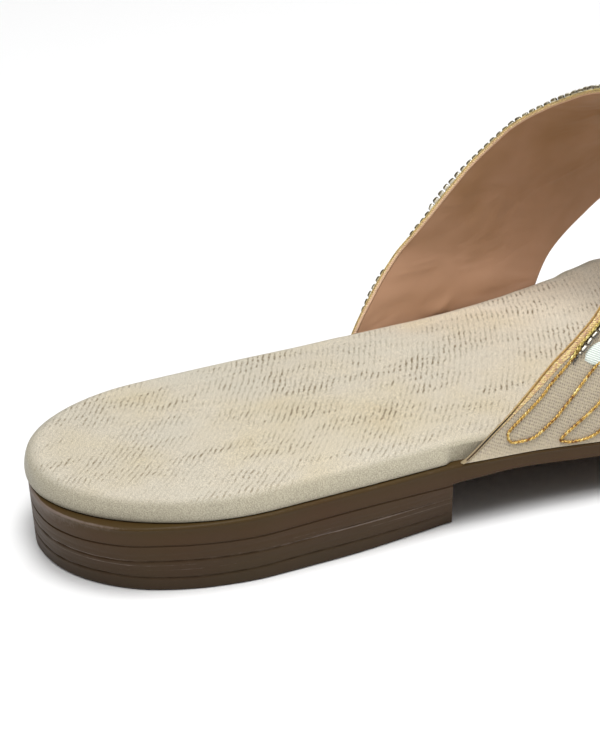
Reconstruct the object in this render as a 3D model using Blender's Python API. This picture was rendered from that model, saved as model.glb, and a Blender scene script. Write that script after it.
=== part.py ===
"""Embroidered slide sandal for a woman's right foot, size 38.

The sandal is a one-piece rubber sole whose low heel is moulded to look stacked, a padded
insole wrapped in fabric, and one broad hollow band over the instep. The band's foot is
turned in under the insole, as a lasted upper is. A gold binding closes its rear edge, and
a string of beads runs beside the binding.

All working sizes are millimetres in the last's own frame: +Y runs from the back of the
heel to the toes, +X to the outer side of the foot, and +Z up from the floor. The finished
part is moved so that its origin is the middle of its box, on the floor.
"""

import bpy
import bmesh
import numpy as np

MM = 0.001
FIT_GAP = 0.3            # between any two pieces

# Driving dimensions of the last and the sole
INSOLE_LENGTH = 244.0
HEEL_ARC = 30.0          # depth of the half ellipse that ends the heel
TOE_ARC = 84.0           # depth of the rounding that ends the toe
TOE_ROUNDNESS = 2.3      # exponent of the toe's rounding, where 2 is an ellipse
HEEL_SEAT = 13.0         # height of the sole's top face over the heel
HEEL_BREAST = 64.0       # front face of the heel, from the insole's back end
LAYER_BOTTOM = 9.1       # underside of the sole's own layer over the heel
SIDE_LEDGE = 1.9         # how far the sole stands out from the insole beside the band
ARC_POINTS = 11          # cross-sections round the heel's end, and round the toe's
FRONT_LEAN = 0.246       # inward lean of the sole's side, per millimetre of depth
GROOVE_DEPTH = 0.45
RIM_ROUND = 0.45
LEDGE_CHANGE = (62.0, 72.0)      # stations between which the heel's ledge becomes SIDE_LEDGE

# Driving dimensions of the insole and the band
INSOLE_THICKNESS = 3.5
INSOLE_BULGE = 0.28      # how far the insole's rounded side swells past its outline
INSOLE_CROWN = 0.25      # rise of its middle over its edge
INSOLE_FOLD = 2.6        # width of the rounded fold along its edge
RELIEF = 0.4             # how far the insole draws back from the band, past its bulge
BAND_WALL = 1.6
TURN_IN = 5.0            # width of the band's foot under the insole
TURN_IN_THICKNESS = 1.1
BAND_ROUNDNESS = 1.95    # exponent of the band's arch, where 2 is an ellipse
ARCH_ANGLES = np.linspace(0, 180, 49)
BAND_SECTIONS = 10       # from its rear edge to its front edge
RIDGE_SHIFT = 3.0        # how far the arch's top leans to the inner side of the foot
BINDING_WIDTH = 1.8
BINDING_PROUD = 0.25
FOLD_ROUND = 0.4         # rounding of the binding's fold at the band's very edge
BINDING_CORNER = 0.18
BEAD_PITCH = 1.55
BEAD_RADIUS = 0.68
BEAD_NECK = 0.3
BEAD_SIDES = 6
BEAD_LINE = 2.75         # from the band's rear edge to the string of beads
BEAD_SPAN = (14.0, 174.0)        # angles round the arch where the string starts and ends

# The last, a row for each cross-section from heel to toe. swing is the sideways place of the
# middle, seat and underside are the heights of the sole's two faces there, dish is the rise
# of the sole's inner rim over its middle, and ridge is the top of the band's arch.
LAST_COLUMNS = ("station", "swing", "half_width", "seat", "underside", "dish", "ridge")
LAST_ROWS = (
    (30.0, 0.0, 28.55, 13.0, 9.1, 0.0, 95.0),
    (46.0, 0.0, 28.55, 13.0, 9.1, 0.0, 90.0),
    (62.0, 0.0, 28.35, 13.0, 9.1, 0.0, 82.5),
    (76.0, 0.0, 28.90, 12.6, 9.5, 0.3, 76.5),
    (90.0, 0.15, 30.35, 11.8, 8.9, 0.7, 71.5),
    (105.0, 0.1, 33.05, 10.7, 7.8, 1.2, 66.0),
    (120.0, -0.5, 36.90, 9.3, 6.4, 1.7, 60.3),
    (135.0, -1.5, 41.00, 7.4, 4.5, 2.0, 54.5),
    (148.0, -1.9, 43.20, 5.4, 2.5, 1.7, 49.2),
    (160.0, -2.1, 43.80, 3.9, 0.9, 1.2, 44.6),
    (172.0, -2.6, 43.60, 3.1, 0.0, 0.9, 40.5),
    (196.0, -4.4, 42.90, 3.0, 0.0, 0.6, 34.0),
    (220.0, -6.8, 42.90, 4.7, 1.7, 0.4, 28.0),
    (244.0, -9.0, 42.90, 8.0, 5.0, 0.3, 22.0),
)

# The ledge of the sole round the insole and the setback of the heel's base, by the way the
# edge faces: -90 is straight back, 0 the outer side and 180 the inner side of the foot.
LEDGE_COLUMNS = ("facing", "ledge", "base")
LEDGE_ROWS = (
    (-180.0, 1.2, -1.5),
    (-135.0, 0.5, -0.6),
    (-108.0, 0.4, -0.05),
    (-92.0, 1.2, -0.35),
    (-76.0, 2.4, -0.35),
    (-48.0, 3.1, -0.5),
    (-30.0, 1.9, -1.15),
    (-12.0, 1.4, -1.6),
    (0.0, 1.45, -1.5),
    (180.0, 1.2, -1.5),
)
BASE_NARROWING = 2.0     # further setback of the heel's base at its breast
NARROWING_START = 42.0

# The band's two edges, a row for each angle round its arch: 0 is the foot of the outer side,
# 90 the ridge and 180 the foot of the inner side.
EDGE_COLUMNS = ("angle", "rear", "front")
EDGE_ROWS = (
    (0.0, 65.2, 109.0),
    (11.0, 80.0, 120.0),
    (23.0, 93.0, 131.0),
    (45.0, 107.3, 147.5),
    (68.0, 116.2, 159.5),
    (90.0, 119.3, 163.5),
    (113.0, 117.0, 160.8),
    (135.0, 107.0, 151.5),
    (148.0, 98.0, 142.8),
    (161.0, 88.2, 132.2),
    (171.0, 80.3, 122.2),
    (180.0, 74.7, 117.0),
)

# Heel side from top to base: height, how deep it is cut, and how far the breast is moved
HEEL_COLUMNS = ("height", "cut", "breast_shift")
HEEL_ROWS = (
    (10.6, GROOVE_DEPTH, 0.9),
    (8.75, GROOVE_DEPTH, 0.9),
    (8.55, 0.0, 0.5),
    (7.90, 0.0, 0.0),
    (6.15, 0.0, 0.0),
    (5.90, GROOVE_DEPTH, 0.0),
    (5.65, 0.0, 0.0),
    (2.95, 0.0, 0.0),
    (2.70, GROOVE_DEPTH, 0.0),
    (2.45, 0.0, 0.0),
    (0.80, 0.0, 0.0),
    (0.20, 0.2, -0.25),
    (0.0, 0.7, -0.8),
)

# The insole's rounded side from its underside up: how far out, and the share of its height
FOLD_COLUMNS = ("outward", "share")
FOLD_ROWS = (
    (-0.3, 0.0),
    (0.1, 0.16),
    (INSOLE_BULGE, 0.63),
    (0.02, 0.87),
    (-0.7, 1.0),
)


def columns(names, rows):
    """A table as one array for each named column."""
    return dict(zip(names, np.array(rows, dtype=float).T))


LAST = columns(LAST_COLUMNS, LAST_ROWS)
LEDGE = columns(LEDGE_COLUMNS, LEDGE_ROWS)
HEEL = columns(HEEL_COLUMNS, HEEL_ROWS)
EDGE = columns(EDGE_COLUMNS, EDGE_ROWS)
FOLD = columns(FOLD_COLUMNS, FOLD_ROWS)


def smooth(place, knots, values):
    """Values between the knots on a smooth curve that never overshoots them."""
    place = np.clip(np.asarray(place, dtype=float), knots[0], knots[-1])
    span = np.diff(knots)
    slope = np.diff(values) / span
    tangent = np.zeros(len(knots))
    product = slope[1:] * slope[:-1]
    rising = product > 0
    total = np.where(rising, slope[1:] + slope[:-1], 1.0)
    tangent[1:-1] = np.where(rising, 2 * product / total, 0.0)
    tangent[-1] = slope[-1]
    index = np.clip(np.searchsorted(knots, place, side="right") - 1, 0, len(span) - 1)
    width = span[index]
    t = (place - knots[index]) / width
    start = (1 + 2 * t) * (1 - t) ** 2 * values[index] + t * (1 - t) ** 2 * width * tangent[index]
    end = t * t * (3 - 2 * t) * values[index + 1] + t * t * (t - 1) * width * tangent[index + 1]
    return start + end


def along(column, station):
    """One of the last's columns at any station."""
    return smooth(station, LAST["station"], LAST[column])


def half_width(station):
    """Half the insole's width: the table's, drawn in to a round heel and a fuller toe."""
    heel = np.clip((HEEL_ARC - station) / HEEL_ARC, 0, 1)
    toe = np.clip((station - INSOLE_LENGTH + TOE_ARC) / TOE_ARC, 0, 1)
    toe_share = (1 - toe ** TOE_ROUNDNESS) ** (1 / TOE_ROUNDNESS)
    return along("half_width", station) * np.sqrt(1 - heel ** 2) * toe_share


def dish(x, station):
    """Rise of the sole's rim: a parabola across, half as high on the outer side."""
    share = (x - along("swing", station)) / along("half_width", station)
    return along("dish", station) * np.where(share < 0, 1.0, 0.5) * share ** 2


def seat(x, station):
    """Height of the sole's top face."""
    return along("seat", station) + dish(x, station)


def underside(x, station):
    """Height of the sole's underside, flat where the ball of the foot bears on the floor."""
    middle = along("underside", station)
    return middle + dish(x, station) * np.clip(middle / 4.0, 0, 1)


def side_points(station, side):
    """Points and outward directions of one side of the insole; side is 1 outer, -1 inner."""
    station = np.asarray(station, dtype=float)
    step = 1e-4
    ahead = np.clip(station + step, 0, INSOLE_LENGTH)
    behind = np.clip(station - step, 0, INSOLE_LENGTH)

    def across(y):
        return along("swing", y) + side * half_width(y)

    lean = (across(ahead) - across(behind)) / (ahead - behind)
    lean = np.where(station <= 0, side * 1e6, np.where(station >= INSOLE_LENGTH, -side * 1e6, lean))
    length = np.sqrt(1 + lean ** 2)
    points = np.stack([across(station), station], 1)
    normals = np.stack([side / length, -side * lean / length], 1)
    return points, normals


def loop_points(station):
    """The insole's outline through these stations: up the outer side, back down the inner."""
    outer, outer_normal = side_points(station, 1)
    inner, inner_normal = side_points(station, -1)
    first = 1 if station[0] <= 0 else 0
    last = len(station) - 1 if station[-1] >= INSOLE_LENGTH else len(station)
    points = np.concatenate([outer, inner[first:last][::-1]])
    normals = np.concatenate([outer_normal, inner_normal[first:last][::-1]])
    return points, normals


def whole_stations():
    """Stations from heel to toe, closer together round the two ends."""
    quarter = np.linspace(0, np.pi / 2, ARC_POINTS)
    heel = HEEL_ARC * (1 - np.cos(quarter))
    toe_start = INSOLE_LENGTH - TOE_ARC
    toe = toe_start + TOE_ARC * np.sin(quarter)
    middle = np.linspace(HEEL_ARC, toe_start, 20)[1:-1]
    return np.concatenate([heel, middle, toe])


def facing(normals):
    return np.degrees(np.arctan2(normals[:, 1], normals[:, 0]))


def ledge(points, normals):
    """How far the sole's top rim stands out from the insole."""
    heel = smooth(facing(normals), LEDGE["facing"], LEDGE["ledge"])
    start, end = LEDGE_CHANGE
    share = np.clip((points[:, 1] - start) / (end - start), 0, 1)
    share = share * share * (3 - 2 * share)
    return heel + (SIDE_LEDGE - heel) * share


def side_lean(points, normals):
    """Inward lean of the sole's side, per millimetre of depth below its rim."""
    base = smooth(facing(normals), LEDGE["facing"], LEDGE["base"])
    heel = (smooth(facing(normals), LEDGE["facing"], LEDGE["ledge"]) - base) / HEEL_SEAT
    start, end = LEDGE_CHANGE
    share = np.clip((points[:, 1] - start) / (end - start), 0, 1)
    return heel + (FRONT_LEAN - heel) * share


def offset_ring(points, normals, distance, height):
    """The outline moved out by a distance, at a height given by a function of place."""
    moved = points + normals * np.broadcast_to(distance, len(points))[:, None]
    return np.column_stack([moved, height(moved[:, 0], moved[:, 1])])


def inner_ring(points, share, height):
    """The outline drawn in towards the sole's long middle line; share 0 is that line."""
    station = np.clip(points[:, 1], HEEL_ARC, INSOLE_LENGTH - 0.6 * TOE_ARC)
    middle = np.column_stack([along("swing", station), station])
    moved = middle + (points - middle) * share
    return np.column_stack([moved, height(moved[:, 0], moved[:, 1])])


def mesh_object(name, vertices, faces, material, sharp_degrees=35.0):
    """A closed mesh in metres, its doubles merged and its faces pointing out."""
    mesh = bpy.data.meshes.new(name)
    placed = (np.asarray(vertices) - CENTRE) * MM
    mesh.from_pydata(placed.tolist(), [], [tuple(face) for face in faces])
    work = bmesh.new()
    work.from_mesh(mesh)
    bmesh.ops.remove_doubles(work, verts=work.verts, dist=1e-7)
    bmesh.ops.dissolve_degenerate(work, edges=work.edges, dist=1e-7)
    bmesh.ops.recalc_face_normals(work, faces=work.faces)
    work.to_mesh(mesh)
    work.free()
    mesh.shade_smooth()
    mesh.set_sharp_from_angle(angle=np.radians(sharp_degrees))
    mesh.materials.append(material)
    item = bpy.data.objects.new(name, mesh)
    bpy.context.scene.collection.objects.link(item)
    return item


def strips(count, rows, closed=True):
    """Faces between neighbouring rows of a grid, each row with this many points."""
    steps = count if closed else count - 1
    faces = []
    for row in range(rows - 1):
        for place in range(steps):
            after = (place + 1) % count
            near = row * count
            far = near + count
            faces.append((near + place, near + after, far + after, far + place))
    return faces


def finish(name, colour, roughness, metallic=0.0):
    """A plain Principled material; the colour is linear red, green and blue."""
    material = bpy.data.materials.new(name)
    material.use_nodes = True
    shader = material.node_tree.nodes["Principled BSDF"]
    shader.inputs["Base Color"].default_value = (*colour, 1.0)
    shader.inputs["Roughness"].default_value = roughness
    shader.inputs["Metallic"].default_value = metallic
    return material


def sole_layer(material):
    """The sole's own layer: a thin dished plate from heel to toe."""
    points, normals = loop_points(whole_stations())
    rim = ledge(points, normals)
    lean = side_lean(points, normals)
    thickness = along("seat", points[:, 1]) - along("underside", points[:, 1])
    low = rim - lean * thickness

    def rim_height(x, y):
        return seat(x, y) - RIM_ROUND

    def low_height(x, y):
        return underside(x, y) + RIM_ROUND

    rings = [inner_ring(points, share, seat) for share in (0.0, 0.4, 0.75, 0.97)]
    rings.append(offset_ring(points, normals, rim - RIM_ROUND, seat))
    rings.append(offset_ring(points, normals, rim, rim_height))
    rings.append(offset_ring(points, normals, low, low_height))
    rings.append(offset_ring(points, normals, low - RIM_ROUND, underside))
    rings += [inner_ring(points, share, underside) for share in (0.75, 0.4, 0.0)]
    return mesh_object("outsole", np.concatenate(rings), strips(len(points), len(rings)), material)


def heel_block(material):
    """The heel's lifts, with a moulded groove round each joint and a rounded base."""
    arc = HEEL_ARC * (1 - np.cos(np.linspace(0, np.pi / 2, ARC_POINTS)))
    fixed = np.concatenate([arc, np.linspace(HEEL_ARC, HEEL_BREAST, 6)[1:-1]])
    rings = []
    for height, cut, breast_shift in zip(HEEL["height"], HEEL["cut"], HEEL["breast_shift"]):
        station = np.append(fixed, HEEL_BREAST + breast_shift)
        points, normals = loop_points(station)
        rim = smooth(facing(normals), LEDGE["facing"], LEDGE["ledge"])
        base = smooth(facing(normals), LEDGE["facing"], LEDGE["base"])
        depth = HEEL_SEAT - height
        nearness = np.clip((points[:, 1] - NARROWING_START) / (HEEL_BREAST - NARROWING_START), 0, 1)
        below = max(0.0, (LAYER_BOTTOM - height) / LAYER_BOTTOM)
        distance = rim - (rim - base) * depth / HEEL_SEAT - BASE_NARROWING * below * nearness ** 1.5
        ring = points + normals * (distance - cut)[:, None]
        at_breast = points[:, 1] >= HEEL_BREAST + breast_shift
        ring[at_breast, 1] = HEEL_BREAST + breast_shift
        rings.append(np.column_stack([ring, np.full(len(ring), height)]))
    count = len(rings[0])
    faces = strips(count, len(rings))
    last = (len(rings) - 1) * count
    faces.append(tuple(range(count)))
    faces.append(tuple(range(last, last + count)))
    return mesh_object("heel_block", np.concatenate(rings), faces, material)


def outsole(material):
    """The sole's layer and the heel's lifts, moulded as one piece."""
    sole = sole_layer(material)
    heel = heel_block(material)
    heel.hide_render = True
    heel.display_type = "WIRE"
    union = sole.modifiers.new("moulded_heel", "BOOLEAN")
    union.operation = "UNION"
    union.object = heel
    return sole


def band_zone(points, before, after, blend):
    """1 beside the band's foot and this far before and after it, falling to 0 over the blend."""
    outer = points[:, 0] > along("swing", points[:, 1])
    first = np.where(outer, EDGE["rear"][0], EDGE["rear"][-1]) - before
    last = np.where(outer, EDGE["front"][0], EDGE["front"][-1]) + after
    entering = np.clip((points[:, 1] - first) / blend + 1, 0, 1)
    leaving = np.clip((last - points[:, 1]) / blend + 1, 0, 1)
    return entering * leaving


def insole_stations():
    """The common stations, with a close pair at each end of the band's foot."""
    ends = [EDGE["rear"][0], EDGE["rear"][-1], EDGE["front"][0], EDGE["front"][-1]]
    pairs = []
    for end, way in zip(ends, (-1, -1, 1, 1)):
        pairs += [end + way * 1.3, end + way * 1.7]
    common = whole_stations()
    clear = [y for y in common if min(abs(y - end) for end in pairs) > 1.0]
    return np.array(sorted(clear + pairs))


def insole(material):
    """The padded insole: a rounded edge, a low crown, and a rebate over the band's foot."""
    points, normals = loop_points(insole_stations())
    rebate = band_zone(points, 1.3, 1.3, 0.4) * (TURN_IN_THICKNESS + 1.5 * FIT_GAP)
    relief = band_zone(points, 1.5, 5.0, 3.0) * (INSOLE_BULGE + RELIEF)

    def lifted(amount):
        return lambda x, y: seat(x, y) + FIT_GAP + amount

    def crown(x, y):
        share = np.clip(np.abs(x - along("swing", y)) / along("half_width", y), 0, 1)
        return seat(x, y) + INSOLE_THICKNESS + INSOLE_CROWN * (1 - share ** 2)

    inset = TURN_IN + 2 * FIT_GAP
    top = INSOLE_THICKNESS - FIT_GAP
    rings = [inner_ring(points, share, lifted(0.0)) for share in (0.0, 0.45)]
    rings.append(offset_ring(points, normals, -inset - 0.2, lifted(0.0)))
    rings.append(offset_ring(points, normals, -inset, lifted(rebate)))
    for outward, share in zip(FOLD["outward"], FOLD["share"]):
        height = np.maximum(share * top, rebate + share)
        rings.append(offset_ring(points, normals, outward - relief, lifted(height)))
    rings.append(offset_ring(points, normals, -INSOLE_FOLD, crown))
    rings += [inner_ring(points, share, crown) for share in (0.7, 0.35, 0.0)]
    return mesh_object("insole", np.concatenate(rings), strips(len(points), len(rings)), material)


def band_surface(angle, station):
    """The band's outer face: an arch over the last, leaning to the inner side at its top."""
    angle = np.radians(angle)
    share = np.abs(np.sin(angle)) ** (2 / BAND_ROUNDNESS)
    spread = np.sign(np.cos(angle)) * np.abs(np.cos(angle)) ** (2 / BAND_ROUNDNESS)
    width = along("half_width", station) + SIDE_LEDGE
    middle = along("swing", station)
    x = middle + width * spread - RIDGE_SHIFT * share
    foot = seat(middle + width * np.sign(spread), station) + FIT_GAP
    z = foot + (along("ridge", station) - foot) * share
    return np.stack([x, station, z], -1)


def band_normal(angle, station):
    """Outward direction of the band's outer face."""
    bend = 0.02
    low = np.clip(angle - bend, 0, 180)
    high = np.clip(angle + bend, 0, 180)
    round_arch = band_surface(high, station) - band_surface(low, station)
    forward = band_surface(angle, station + bend) - band_surface(angle, station - bend)
    normal = np.cross(forward, round_arch)
    flat_foot = (angle <= 0) | (angle >= 180)
    normal[..., 2] = np.where(flat_foot, 0.0, normal[..., 2])
    return normal / np.linalg.norm(normal, axis=-1)[..., None]


def edge_station(which, angle):
    return smooth(angle, EDGE["angle"], EDGE[which])


def from_rear_edge(angle, distance):
    """Station of the point this far from the band's rear edge, square to the edge."""
    start = edge_station("rear", angle)
    bend = 0.05
    low = np.clip(angle - bend, 0, 180)
    high = np.clip(angle + bend, 0, 180)
    edge = band_surface(high, edge_station("rear", high)) - band_surface(low, edge_station("rear", low))
    edge /= np.linalg.norm(edge, axis=-1)[..., None]
    forward = (band_surface(angle, start + bend) - band_surface(angle, start - bend)) / (2 * bend)
    square = np.linalg.norm(np.cross(edge, forward), axis=-1)
    return start + distance / square


def on_band(angle, station, proud):
    """A point this far outside the band's outer face."""
    return band_surface(angle, station) + band_normal(angle, station) * np.asarray(proud)[..., None]


def upper(material):
    """The instep band: one hollow wall with its foot turned in on both sides."""
    angle = ARCH_ANGLES
    rear = from_rear_edge(angle, BINDING_WIDTH + FIT_GAP)
    front = edge_station("front", angle)
    sections = []
    for share in np.linspace(0, 1, BAND_SECTIONS):
        station = rear + (front - rear) * share
        outer = band_surface(angle, station)
        inner = on_band(angle, station, np.full(len(angle), -BAND_WALL))
        feet = []
        for end, above, way in ((0, 1, -1.0), (-1, -2, 1.0)):
            tip = inner[end] + (way * TURN_IN, 0.0, 0.0)
            tip[2] = seat(tip[0], tip[1]) + FIT_GAP
            rise = (inner[above] - inner[end]) * TURN_IN_THICKNESS / (inner[above, 2] - inner[end, 2])
            inner[end] += rise
            feet.append((tip, tip + (0.0, rise[1], TURN_IN_THICKNESS)))
        outer_foot, inner_foot = feet
        section = list(outer) + list(inner_foot) + list(inner[::-1]) + list(outer_foot[::-1])
        sections.append(section)
    count = len(sections[0])
    faces = strips(count, len(sections))
    arch = len(angle)
    for base in (0, (len(sections) - 1) * count):
        for place in range(arch - 1):
            across = 2 * arch + 1 - place
            faces.append((base + place, base + place + 1, base + across - 1, base + across))
        faces.append(tuple(base + place for place in (arch - 1, arch, arch + 1, arch + 2)))
        faces.append(tuple(base + place for place in (0, count - 1, count - 2, count - 3)))
    vertices = np.array(sections, dtype=float).reshape(-1, 3)
    return mesh_object("upper", vertices, faces, material)


def band_tube(name, angle, profile, material, sharp_degrees=35.0):
    """A closed strip along the rear edge; profile(i) gives its (distance, proud) corners."""
    rings = []
    for place, here in enumerate(angle):
        corners = np.array(profile(place), dtype=float)
        around = np.full(len(corners), here)
        rings.append(on_band(around, from_rear_edge(around, corners[:, 0]), corners[:, 1]))
    count = len(rings[0])
    faces = strips(count, len(rings))
    last = (len(rings) - 1) * count
    faces.append(tuple(range(count)))
    faces.append(tuple(range(last, last + count)))
    return mesh_object(name, np.concatenate(rings), faces, material, sharp_degrees)


def topline_binding(material):
    """The gold binding folded over the band's rear edge, a little thicker than its wall."""
    outside = BINDING_PROUD
    inside = -BAND_WALL - BINDING_PROUD / 2
    corners = (
        (FOLD_ROUND, outside),
        (BINDING_WIDTH - BINDING_CORNER, outside),
        (BINDING_WIDTH, outside - BINDING_CORNER),
        (BINDING_WIDTH, inside + BINDING_CORNER),
        (BINDING_WIDTH - BINDING_CORNER, inside),
        (FOLD_ROUND, inside),
        (0.0, inside + FOLD_ROUND),
        (0.0, outside - FOLD_ROUND),
    )
    return band_tube("topline_binding", ARCH_ANGLES, lambda place: corners, material)


def bead_string(material):
    """Small round beads strung close together beside the binding."""
    dense = np.linspace(*BEAD_SPAN, 2000)
    line = band_surface(dense, from_rear_edge(dense, np.full(len(dense), BEAD_LINE)))
    run = np.concatenate([[0.0], np.cumsum(np.linalg.norm(np.diff(line, axis=0), axis=1))])
    beads = int(run[-1] / BEAD_PITCH)
    angle = np.interp(np.linspace(0, run[-1], 2 * beads + 1), run, dense)
    centre = FIT_GAP + BEAD_RADIUS
    turn = np.linspace(0, 2 * np.pi, BEAD_SIDES, endpoint=False)

    def corners(place):
        radius = BEAD_RADIUS if place % 2 else BEAD_NECK
        return np.column_stack([BEAD_LINE + radius * np.cos(turn), centre + radius * np.sin(turn)])

    return band_tube("bead_string", angle, corners, material, sharp_degrees=180.0)


def box_centre():
    """Middle of the sole's outline, where the finished part has its origin."""
    points, normals = loop_points(whole_stations())
    rim = points + normals * ledge(points, normals)[:, None]
    middle = (rim.min(axis=0) + rim.max(axis=0)) / 2
    return np.array([middle[0], middle[1], 0.0])


CENTRE = box_centre()


def main():
    for item in list(bpy.data.objects):
        bpy.data.objects.remove(item, do_unlink=True)
    rubber = finish("brown_rubber", (0.072, 0.044, 0.024), 0.55)
    fabric = finish("cream_fabric", (0.60, 0.52, 0.41), 0.9)
    weave = finish("beige_weave", (0.50, 0.44, 0.34), 0.85)
    gold = finish("gold_binding", (0.62, 0.40, 0.12), 0.35, 0.8)
    glass = finish("smoke_beads", (0.30, 0.27, 0.20), 0.15, 0.6)
    outsole(rubber)
    insole(fabric)
    upper(weave)
    topline_binding(gold)
    bead_string(glass)


main()
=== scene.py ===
"""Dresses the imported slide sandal: its rubber sole, padded insole and embroidered band.

The last's own frame is used for every shape, in millimetres: +Y runs from the back of the
heel to the toes, +X to the outer side of the foot, +Z up from the floor. A station is a
place along +Y. A place on the band is given by its angle round the arch, 0 at the outer foot,
90 at the ridge and 180 at the inner foot, and by its distance in front of the rear edge.
"""

from functools import partial

import bmesh
import bpy
import numpy as np
from mathutils import Matrix, Vector


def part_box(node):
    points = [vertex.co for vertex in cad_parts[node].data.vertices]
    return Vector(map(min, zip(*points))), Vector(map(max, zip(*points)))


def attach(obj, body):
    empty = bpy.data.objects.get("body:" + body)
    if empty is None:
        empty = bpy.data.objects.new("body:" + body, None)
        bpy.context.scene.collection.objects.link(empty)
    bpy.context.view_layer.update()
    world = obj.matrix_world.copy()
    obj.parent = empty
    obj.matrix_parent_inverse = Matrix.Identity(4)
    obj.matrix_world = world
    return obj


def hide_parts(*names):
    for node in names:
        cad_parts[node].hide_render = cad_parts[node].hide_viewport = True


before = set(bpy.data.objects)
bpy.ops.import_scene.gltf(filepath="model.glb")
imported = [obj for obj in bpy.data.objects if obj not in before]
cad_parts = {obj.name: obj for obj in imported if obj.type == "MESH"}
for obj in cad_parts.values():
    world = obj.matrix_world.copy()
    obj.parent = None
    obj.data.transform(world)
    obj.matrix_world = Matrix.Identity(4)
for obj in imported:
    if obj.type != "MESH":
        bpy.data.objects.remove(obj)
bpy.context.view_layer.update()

MM = 0.001
TAU = 2 * np.pi


# ---------------- tables and curves

def table(names, *rows):
    """Rows of numbers as one array for each named column; the first column is the place."""
    return dict(zip(names.split(), np.array(rows, dtype=float).T))


def smooth(place, knots, values):
    """Values between knots by cubic Hermite pieces whose slopes are harmonic means."""
    place = np.clip(np.asarray(place, dtype=float), knots[0], knots[-1])
    span = np.diff(knots)
    slope = np.diff(values) / span
    tangent = np.zeros(len(knots))
    rising = slope[1:] * slope[:-1] > 0
    total = np.where(rising, slope[1:] + slope[:-1], 1.0)
    tangent[1:-1] = np.where(rising, 2 * slope[1:] * slope[:-1] / total, 0.0)
    tangent[-1] = slope[-1]
    index = np.clip(np.searchsorted(knots, place, side="right") - 1, 0, len(span) - 1)
    width = span[index]
    t = (place - knots[index]) / width
    start = (1 + 2 * t) * (1 - t) ** 2 * values[index] + t * (1 - t) ** 2 * width * tangent[index]
    end = t * t * (3 - 2 * t) * values[index + 1] + t * t * (t - 1) * width * tangent[index + 1]
    return start + end


def look_up(rows, column, place):
    """A table's column at any place."""
    return smooth(place, next(iter(rows.values())), rows[column])


def ease(value):
    """0 to 1 with soft ends: t squared times (3 - 2t)."""
    t = np.clip(value, 0, 1)
    return t * t * (3 - 2 * t)


def hill(place, middle, width):
    """A bell of height 1: exp(-((place - middle) / width) squared)."""
    return np.exp(-((np.asarray(place) - middle) / width) ** 2)


def unit(vectors):
    """The same directions with length 1."""
    return vectors / np.linalg.norm(vectors, axis=-1)[..., None]


def run_along(line):
    """Length from a line's start to each of its points."""
    return np.concatenate([[0], np.cumsum(np.linalg.norm(np.diff(line, axis=0), axis=1))])


# ---------------- sizes of the last

INSOLE_LENGTH = 244.0
HEEL_ARC = 30.0              # length of the ellipse round the heel
TOE_ARC = 84.0               # length of the fuller arc round the toes
TOE_ROUNDNESS = 2.3
HEEL_SEAT = 13.0             # height of the sole's top face at the heel
HEEL_BREAST = 64.0
LAYER_BOTTOM = 9.1           # height of the sole layer's underside at the heel
SIDE_LEDGE = 1.9             # how far the sole stands out from the insole in front of the heel
FRONT_LEAN = 0.246
LEDGE_CHANGE = (62.0, 72.0)  # stations between which the heel's ledge and lean end
BASE_NARROWING = 2.0
NARROWING_START = 42.0
INSOLE_THICKNESS = 3.5
BAND_WALL = 1.6
BAND_ROUNDNESS = 1.95
RIDGE_SHIFT = 3.0
SLOPE_STEP = 1e-4            # half the step that an outline's slope is taken over
STEEP = 1e6                  # slope that stands for straight across

LAST = table(
    "station swing half_width seat underside dish ridge",
    (30, 0, 28.55, 13, 9.1, 0, 95),
    (46, 0, 28.55, 13, 9.1, 0, 90),
    (62, 0, 28.35, 13, 9.1, 0, 82.5),
    (76, 0, 28.9, 12.6, 9.5, 0.3, 76.5),
    (90, 0.15, 30.35, 11.8, 8.9, 0.7, 71.5),
    (105, 0.1, 33.05, 10.7, 7.8, 1.2, 66),
    (120, -0.5, 36.9, 9.3, 6.4, 1.7, 60.3),
    (135, -1.5, 41, 7.4, 4.5, 2, 54.5),
    (148, -1.9, 43.2, 5.4, 2.5, 1.7, 49.2),
    (160, -2.1, 43.8, 3.9, 0.9, 1.2, 44.6),
    (172, -2.6, 43.6, 3.1, 0, 0.9, 40.5),
    (196, -4.4, 42.9, 3, 0, 0.6, 34),
    (220, -6.8, 42.9, 4.7, 1.7, 0.4, 28),
    (244, -9, 42.9, 8, 5, 0.3, 22),
)
LEDGE = table(
    "facing ledge base",
    (-180, 1.2, -1.5), (-135, 0.5, -0.6), (-108, 0.4, -0.05), (-92, 1.2, -0.35),
    (-76, 2.4, -0.35), (-48, 3.1, -0.5), (-30, 1.9, -1.15), (-12, 1.4, -1.6),
    (0, 1.45, -1.5), (180, 1.2, -1.5),
)
REAR_ARCH = (                # (angle, station) rows that the rear edge and its guide share
    (23.0, 93.0), (45.0, 107.3), (68.0, 116.2), (90.0, 119.3), (113.0, 117.0), (135.0, 107.0),
    (148.0, 98.0), (161.0, 88.2),
)
EDGE = {
    "rear": table(
        "angle station",
        (0, 65), (0.5, 65.9), (1.1, 66.9), (2.4, 68.8), (4.4, 71.6), (6.4, 74.4), (8.4, 76.8),
        (10.4, 79.1), (12.5, 81.4), (14.7, 83.8), (16.5, 86), (18.6, 88.5), *REAR_ARCH,
        (171, 80.1), (176, 76.4), (180, 73.9),
    ),
    "front": table(
        "angle station",
        (0, 109), (11, 120), (23, 131), (45, 147.5), (68, 159.5), (90, 163.5),
        (113, 160.8), (135, 151.5), (148, 142.8), (161, 132.2), (171, 122.2), (180, 117),
    ),
    "guide": table(
        "angle station",
        (0, 65.2), (11, 80), *REAR_ARCH, (171, 80.3), (180, 74.7),
    ),
}
SWAY = table(
    "angle lift",
    (70, 0), (90, -0.1), (105, -0.27), (116, -0.22), (122, 0), (126, 0.15),
    (130, 0.4), (135, 0.58), (140, 0.24), (145, -0.2), (150, -0.52), (155, -0.52),
    (160, -0.23), (165, 0.6), (170, 0.45), (174, 0.15), (180, 0),
)


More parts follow.
